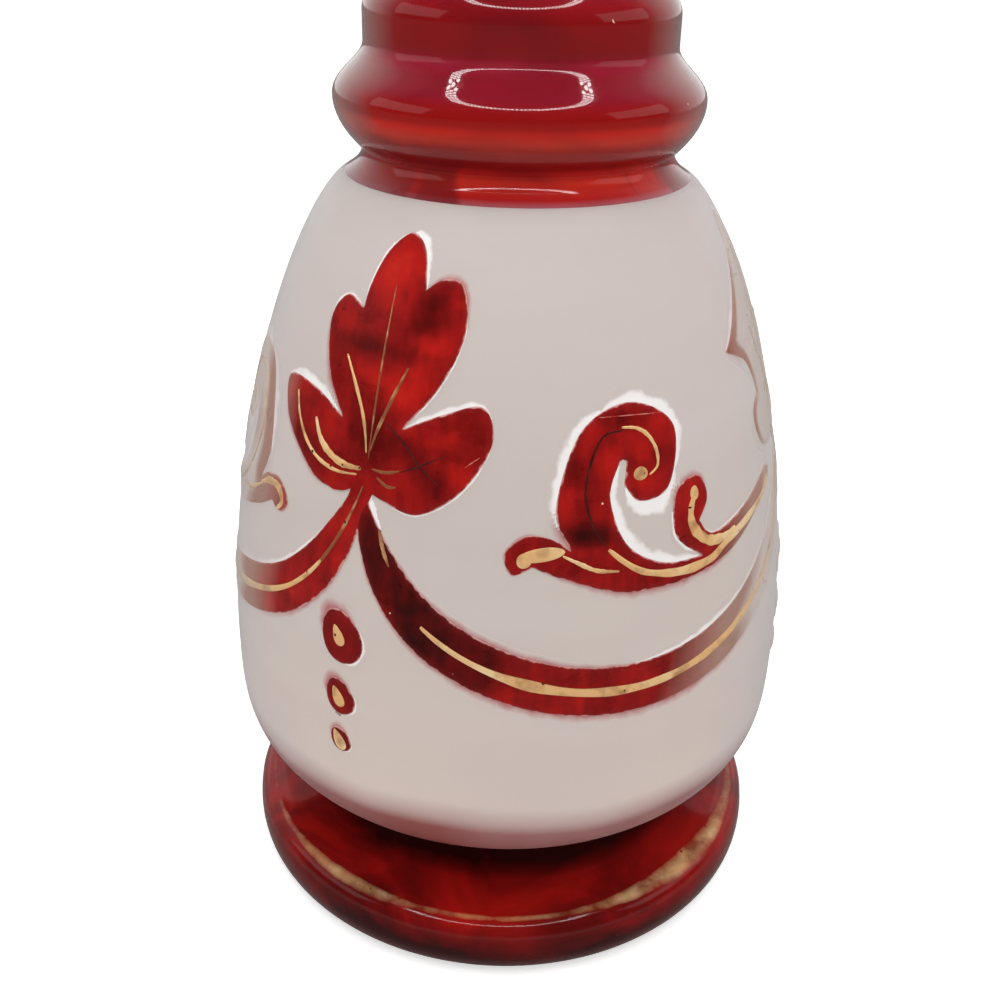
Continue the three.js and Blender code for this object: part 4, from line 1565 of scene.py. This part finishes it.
def light_room(world):
    """A room that is white to the camera and through glass, dims towards its front where the glass
    mirrors it, and lights the rest softly."""
    room = Tree(world)
    rays = room.add("ShaderNodeLightPath").outputs
    direction = room.add("ShaderNodeTexCoord").outputs["Generated"]
    depth = room.add("ShaderNodeSeparateXYZ", {0: direction}).outputs["Y"]
    mirrored = room.between(depth, 0.0, 0.9, 0.06, 1.0)
    strength = room.add("ShaderNodeMix", {0: rays["Is Glossy Ray"], 2: 1.0, 3: mirrored}).outputs[0]
    white = {"Color": (1, 1, 1, 1), "Strength": strength}
    soft = {"Color": (1, 0.99, 0.98, 1), "Strength": 0.7}
    shown = room.math("MAXIMUM", rays["Is Camera Ray"], rays["Is Glossy Ray"])
    shown = room.math("MAXIMUM", shown, rays["Is Transmission Ray"])
    soft, white = (room.add("ShaderNodeBackground", sockets).outputs[0] for sockets in (soft, white))
    choice = room.add("ShaderNodeMixShader", {0: shown, 1: soft, 2: white}).outputs[0]
    room.add("ShaderNodeOutputWorld", {"Surface": choice})


def add_light(name, kind, place, **values):
    """A lamp that faces the middle of the decanter and isn't seen itself."""
    lamp = bpy.data.lights.new(name, kind)
    for key, value in values.items():
        setattr(lamp, key, value)
    holder = bpy.data.objects.new(name, lamp)
    bpy.context.scene.collection.objects.link(holder)
    holder.location = place
    holder.rotation_euler = (LIT_MIDDLE - Vector(place)).to_track_quat("-Z", "Y").to_euler()
    holder.visible_camera = False
    return holder


def add_camera(eye, pitch, yaw, roll, lens):
    """A camera at a place, turned by radians down, aside and over, with its lens in millimetres."""
    forward = np.array([np.sin(yaw) * np.cos(pitch), np.cos(yaw) * np.cos(pitch), -np.sin(pitch)])
    level = np.array([np.cos(yaw), -np.sin(yaw), 0])
    over = np.cross(level, forward)
    right = np.cos(roll) * level + np.sin(roll) * over
    up = np.cos(roll) * over - np.sin(roll) * level
    data = bpy.data.cameras.new("camera")
    data.lens, data.sensor_width, data.clip_start = lens, 36, 0.01
    camera = bpy.data.objects.new("camera", data)
    turned = Matrix(np.stack([right, up, -forward], 1).tolist()).to_4x4()
    camera.matrix_world = Matrix.Translation(eye) @ turned
    bpy.context.scene.collection.objects.link(camera)
    return camera


class DECANTER_OT_stage(bpy.types.Operator):
    """Set the floor, the light and the camera"""

    bl_idname = "decanter.stage"
    bl_label = "Stage"

    def execute(self, context):
        scene = context.scene
        mesh = bpy.data.meshes.new("floor")
        corners = [(x * FLOOR_HALF, y * FLOOR_HALF, 0) for x, y in ((-1, -1), (1, -1), (1, 1), (-1, 1))]
        mesh.from_pydata(corners, [], [(0, 1, 2, 3)])
        floor = bpy.data.objects.new("floor", mesh)
        scene.collection.objects.link(floor)
        mesh.materials.append(stage_floor())

        scene.world = bpy.data.worlds.new("studio")
        light_room(scene.world)
        eye = (0, -0.18, 0.1534)
        scene.camera = add_camera(eye, pitch=0.4659, yaw=-0.0080, roll=0.0236, lens=43.02)

        for row, (count, radius) in enumerate(LAMP_ROWS):
            for k, angle in enumerate(np.linspace(0, 2 * np.pi, count, endpoint=False)):
                place = (radius * np.cos(angle), radius * np.sin(angle) - RING_FORWARD, RING_HEIGHT)
                add_light(f"ring_lamp_{row}_{k:02d}", "POINT", place, energy=0.0125, shadow_soft_size=0.0038)
        for side, name in ((-1, "side_light_left"), (1, "side_light_right")):
            turned = SIDE_TURN * side
            place = (SIDE_REACH * np.sin(turned), -SIDE_REACH * np.cos(turned), SIDE_HEIGHT)
            add_light(name, "AREA", place, energy=0.2, shape="RECTANGLE", size=0.4, size_y=0.22)
        top = add_light("top_light", "AREA", (0, -0.1, 0.9), energy=0.4, shape="DISK", size=0.7)
        top.visible_glossy = False

        scene.view_settings.view_transform = "Standard"
        return {"FINISHED"}


PIECES = (
    DECANTER_OT_bulb,
    DECANTER_OT_neck,
    DECANTER_OT_foot,
    DECANTER_OT_leaves,
    DECANTER_OT_scrolls,
    DECANTER_OT_swags,
    DECANTER_OT_drops,
    DECANTER_OT_gilding,
    DECANTER_OT_bands,
    DECANTER_OT_stopper,
    DECANTER_OT_stage,
)


class DECANTER_PT_panel(bpy.types.Panel):
    """Lists the pieces of the decanter and their sizes"""

    bl_label = "Decanter"
    bl_idname = "DECANTER_PT_panel"
    bl_space_type = "VIEW_3D"
    bl_region_type = "UI"
    bl_category = "Decanter"

    def draw(self, context):
        for piece in PIECES:
            self.layout.operator(piece.bl_idname)
        for name, group in GROUPS.items():
            box = self.layout.box()
            for key in group.__annotations__:
                box.prop(getattr(context.scene, name), key)


def register():
    """Adds the sizes and colours, the pieces and the panel."""
    for kind in (*GROUPS.values(), *PIECES, DECANTER_PT_panel):
        bpy.utils.register_class(kind)
    for name, group in GROUPS.items():
        setattr(bpy.types.Scene, name, bpy.props.PointerProperty(type=group))


def unregister():
    """Takes them away again."""
    for name in GROUPS:
        delattr(bpy.types.Scene, name)
    for kind in (DECANTER_PT_panel, *reversed(PIECES), *reversed(GROUPS.values())):
        bpy.utils.unregister_class(kind)


def main():
    """Registers the add-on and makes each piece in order."""
    register()
    for piece in PIECES:
        group, name = piece.bl_idname.split(".")
        getattr(getattr(bpy.ops, group), name)()


if __name__ == "__main__":
    main()
